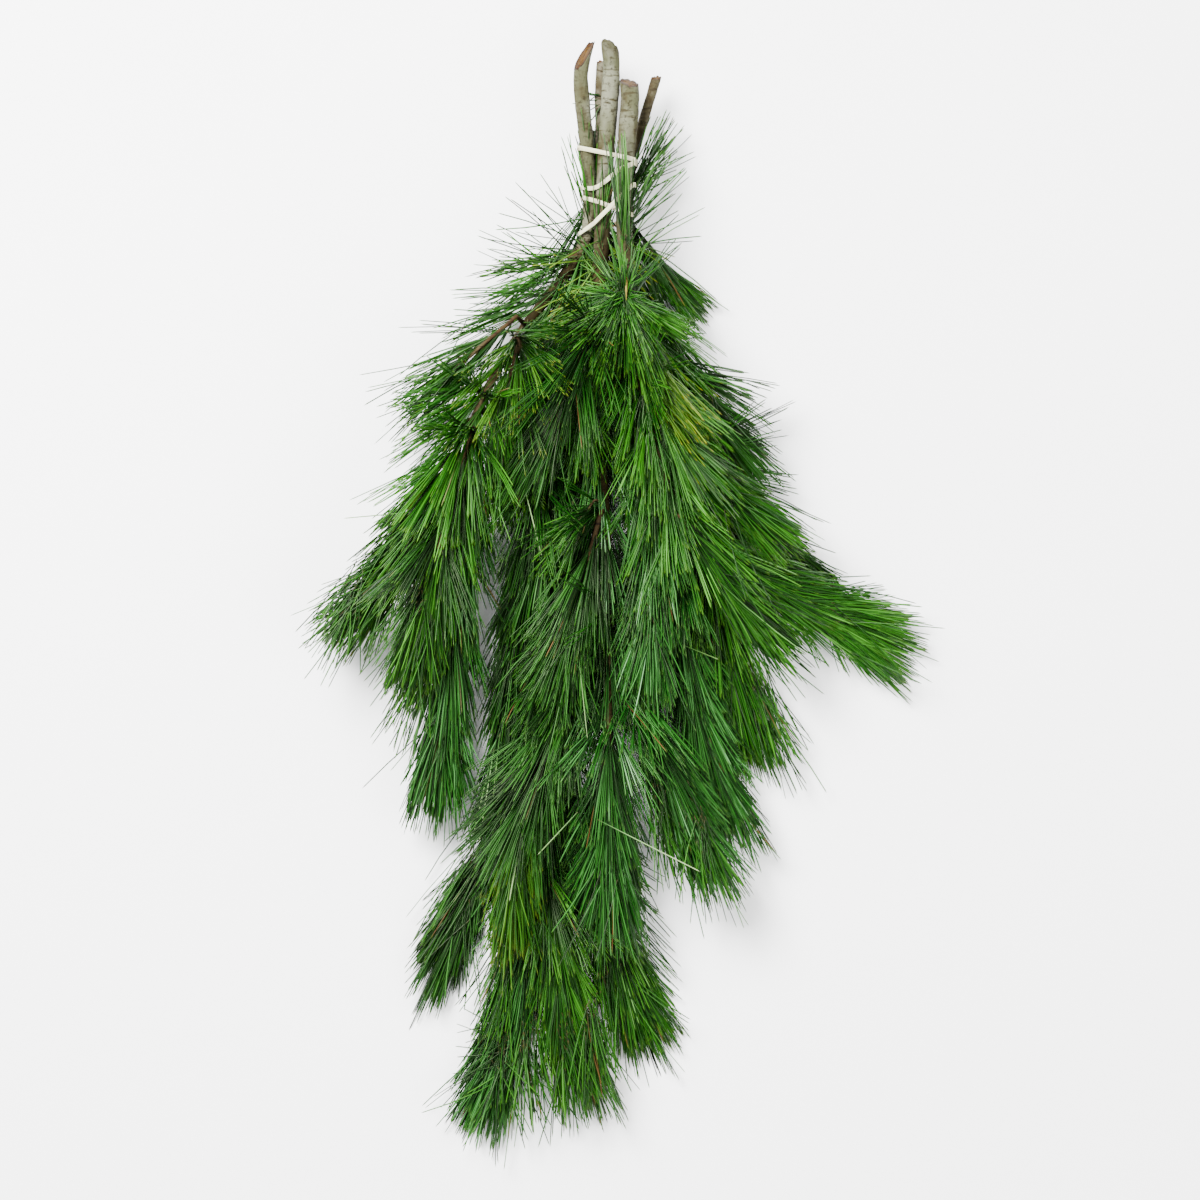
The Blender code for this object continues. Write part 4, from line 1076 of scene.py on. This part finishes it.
def end_of(brush):
    """A brush's name as the lists have it."""
    return brush.replace("bough_", "").replace("_needles", "")


def tone_of(name):
    """The tone of the needles of a brush or along its wood, if it isn't their slot's."""
    end = end_of(brush_of(name))
    return WOOD_TONES.get(name) or ("blue_green" if end in BLUISH else TONES.get(end))


def build_brushes(forms, paths):
    """The needles of each brush but the starburst, and their shoot or stalk."""
    wanted = {name: form.area() * DENSITY.get(end_of(name), 1.0) for name, form in forms.items()}
    each = BRUSH_NEEDLES / sum(wanted.values())
    for name, form in forms.items():
        stem, count = paths[bough(name) + "_stem"], each * wanted[name]
        tuft = end_of(name) in TUFTS
        if tuft:
            needles = tuft_needles(form, count)
        else:
            needles = stacked([brush_needles(form, count), splayed_needles(form)])
        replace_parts(needle_mesh(name + "_grown", needles, SLOT_OF[name], tone_of(name)), name)
        if tuft:
            stalk_mesh(name, form, stem)
        else:
            own_wood = name.replace("_needles_", "_twig_") in paths or name.endswith("_tip")
            shoot_mesh(name, form, None if own_wood else stem)


def build_along(paths):
    """The needles on the wood between the brushes."""
    for name, path in paths.items():
        dense, lean = ALONG.get(name, ALONG_OTHERS)
        leafy = path[path[:, 1] < LEAFY_BELOW.get(bough(name), LEAFY_BELOW_OTHERS)]
        if dense == 0 or len(leafy) < 3:
            continue
        dark = SLOT_OF.get(brush_of(name)) == "needles_dark"
        slot = "needles_dark" if dark else "needles_green"
        needles = path_needles(leafy, dense, lean, name in PARTED)
        needle_mesh(name + "_needles_along", needles, slot, tone_of(name))


def build_loose(piece, fans, sprays, forms, paths, tone=None):
    """Loose needles from brushes and from stems, as one piece."""
    loose = []
    for end, along, across, heading, spread, count, length in fans:
        form = forms[end]
        root = form.point(np.array([along * form.length]), across, FAN_HEIGHT)[0]
        loose.append(spray_needles(scattered(root, count), heading, spread, length))
    for number, level, heading, spread, count, length in sprays:
        roots = on_stem(paths[f"bough_{number}_stem"], level, count)
        loose.append(spray_needles(roots, heading, spread, length))
    needle_mesh(piece, stacked(loose), "needles_green", tone)


def build_needles(paths):
    forms = {name: Form(name) for name in BRUSHES if name != STAR}
    build_brushes(forms, paths)
    build_along(paths)
    forms = {end_of(name): form for name, form in forms.items()}
    build_loose("neck_sprays", FANS, SPRAYS, forms, paths)
    build_loose("yellow_sprays", YELLOW_FANS, YELLOW_SPRAYS, forms, paths, "yellow")
    strays = [stray_needle(forms[end], *shape) for end, *shape in STRAYS]
    needle_mesh("stray_needles", stacked(strays), "needles_green", "pale")
    grown, hub = grow_starburst()
    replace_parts(grown, STAR)
    bud = bud_rings(hub + (0.001, 0.016, -0.004), np.array([0.0, -0.92, 0.39]), *STAR_BUD)
    add_mesh(STAR + "_bud", *close_rings(bud), "twig", "bud_scales")


# ---- the stage ----

FLOOR_REACH, FLOOR_DROP = 4.0, 0.0005
WORLD_LIGHT = 1.3
LAMPS = (("key", (-1.1, 1.3, 2.2), 1.5, 520.0),  # name, place, size and power
         ("fill", (1.6, -0.8, 2.0), 1.6, 80.0))
SENSOR, LENS = 36.0, 200.0  # in millimetres
VIEW_SHIFT = (-0.0119, 0.001)  # middle of the view from the middle of the CAD box
VIEW_LEVEL = 0.04  # height at which the view is as wide as VIEW_WIDTH


def build_stage():
    """A pale floor, light from all sides, two broad lamps, and the camera above."""
    floor = bpy.data.meshes.new("floor")
    r = FLOOR_REACH
    floor.from_pydata([(-r, -r, 0), (r, -r, 0), (r, r, 0), (-r, r, 0)], [], [(0, 1, 2, 3)])
    floor.materials.append(paper_finish("floor_paper"))
    ground = linked("floor", floor)
    ground.location.z = -FLOOR_DROP

    world = bpy.data.worlds.new("studio")
    world.use_nodes = True
    sky = world.node_tree.nodes["Background"].inputs
    sky["Color"].default_value = (1.0, 1.0, 1.0, 1.0)
    sky["Strength"].default_value = WORLD_LIGHT
    bpy.context.scene.world = world
    for name, place, size, power in LAMPS:
        lamp = bpy.data.lights.new(name, "AREA")
        lamp.shape, lamp.size, lamp.energy = "DISK", size, power
        item = linked(name, lamp)
        item.location = place
        item.rotation_euler = (-Vector(place)).to_track_quat("-Z", "Y").to_euler()

    camera = bpy.data.cameras.new("camera")
    camera.sensor_width, camera.lens = SENSOR, LENS
    item = linked("camera", camera)
    x, y, _ = np.mean(cad_box, axis=0)
    distance = VIEW_WIDTH * LENS / SENSOR
    item.location = (x + VIEW_SHIFT[0], y + VIEW_SHIFT[1], VIEW_LEVEL + distance)
    bpy.context.scene.camera = item


build_needles(build_wood())
band_mesh()
build_stage()
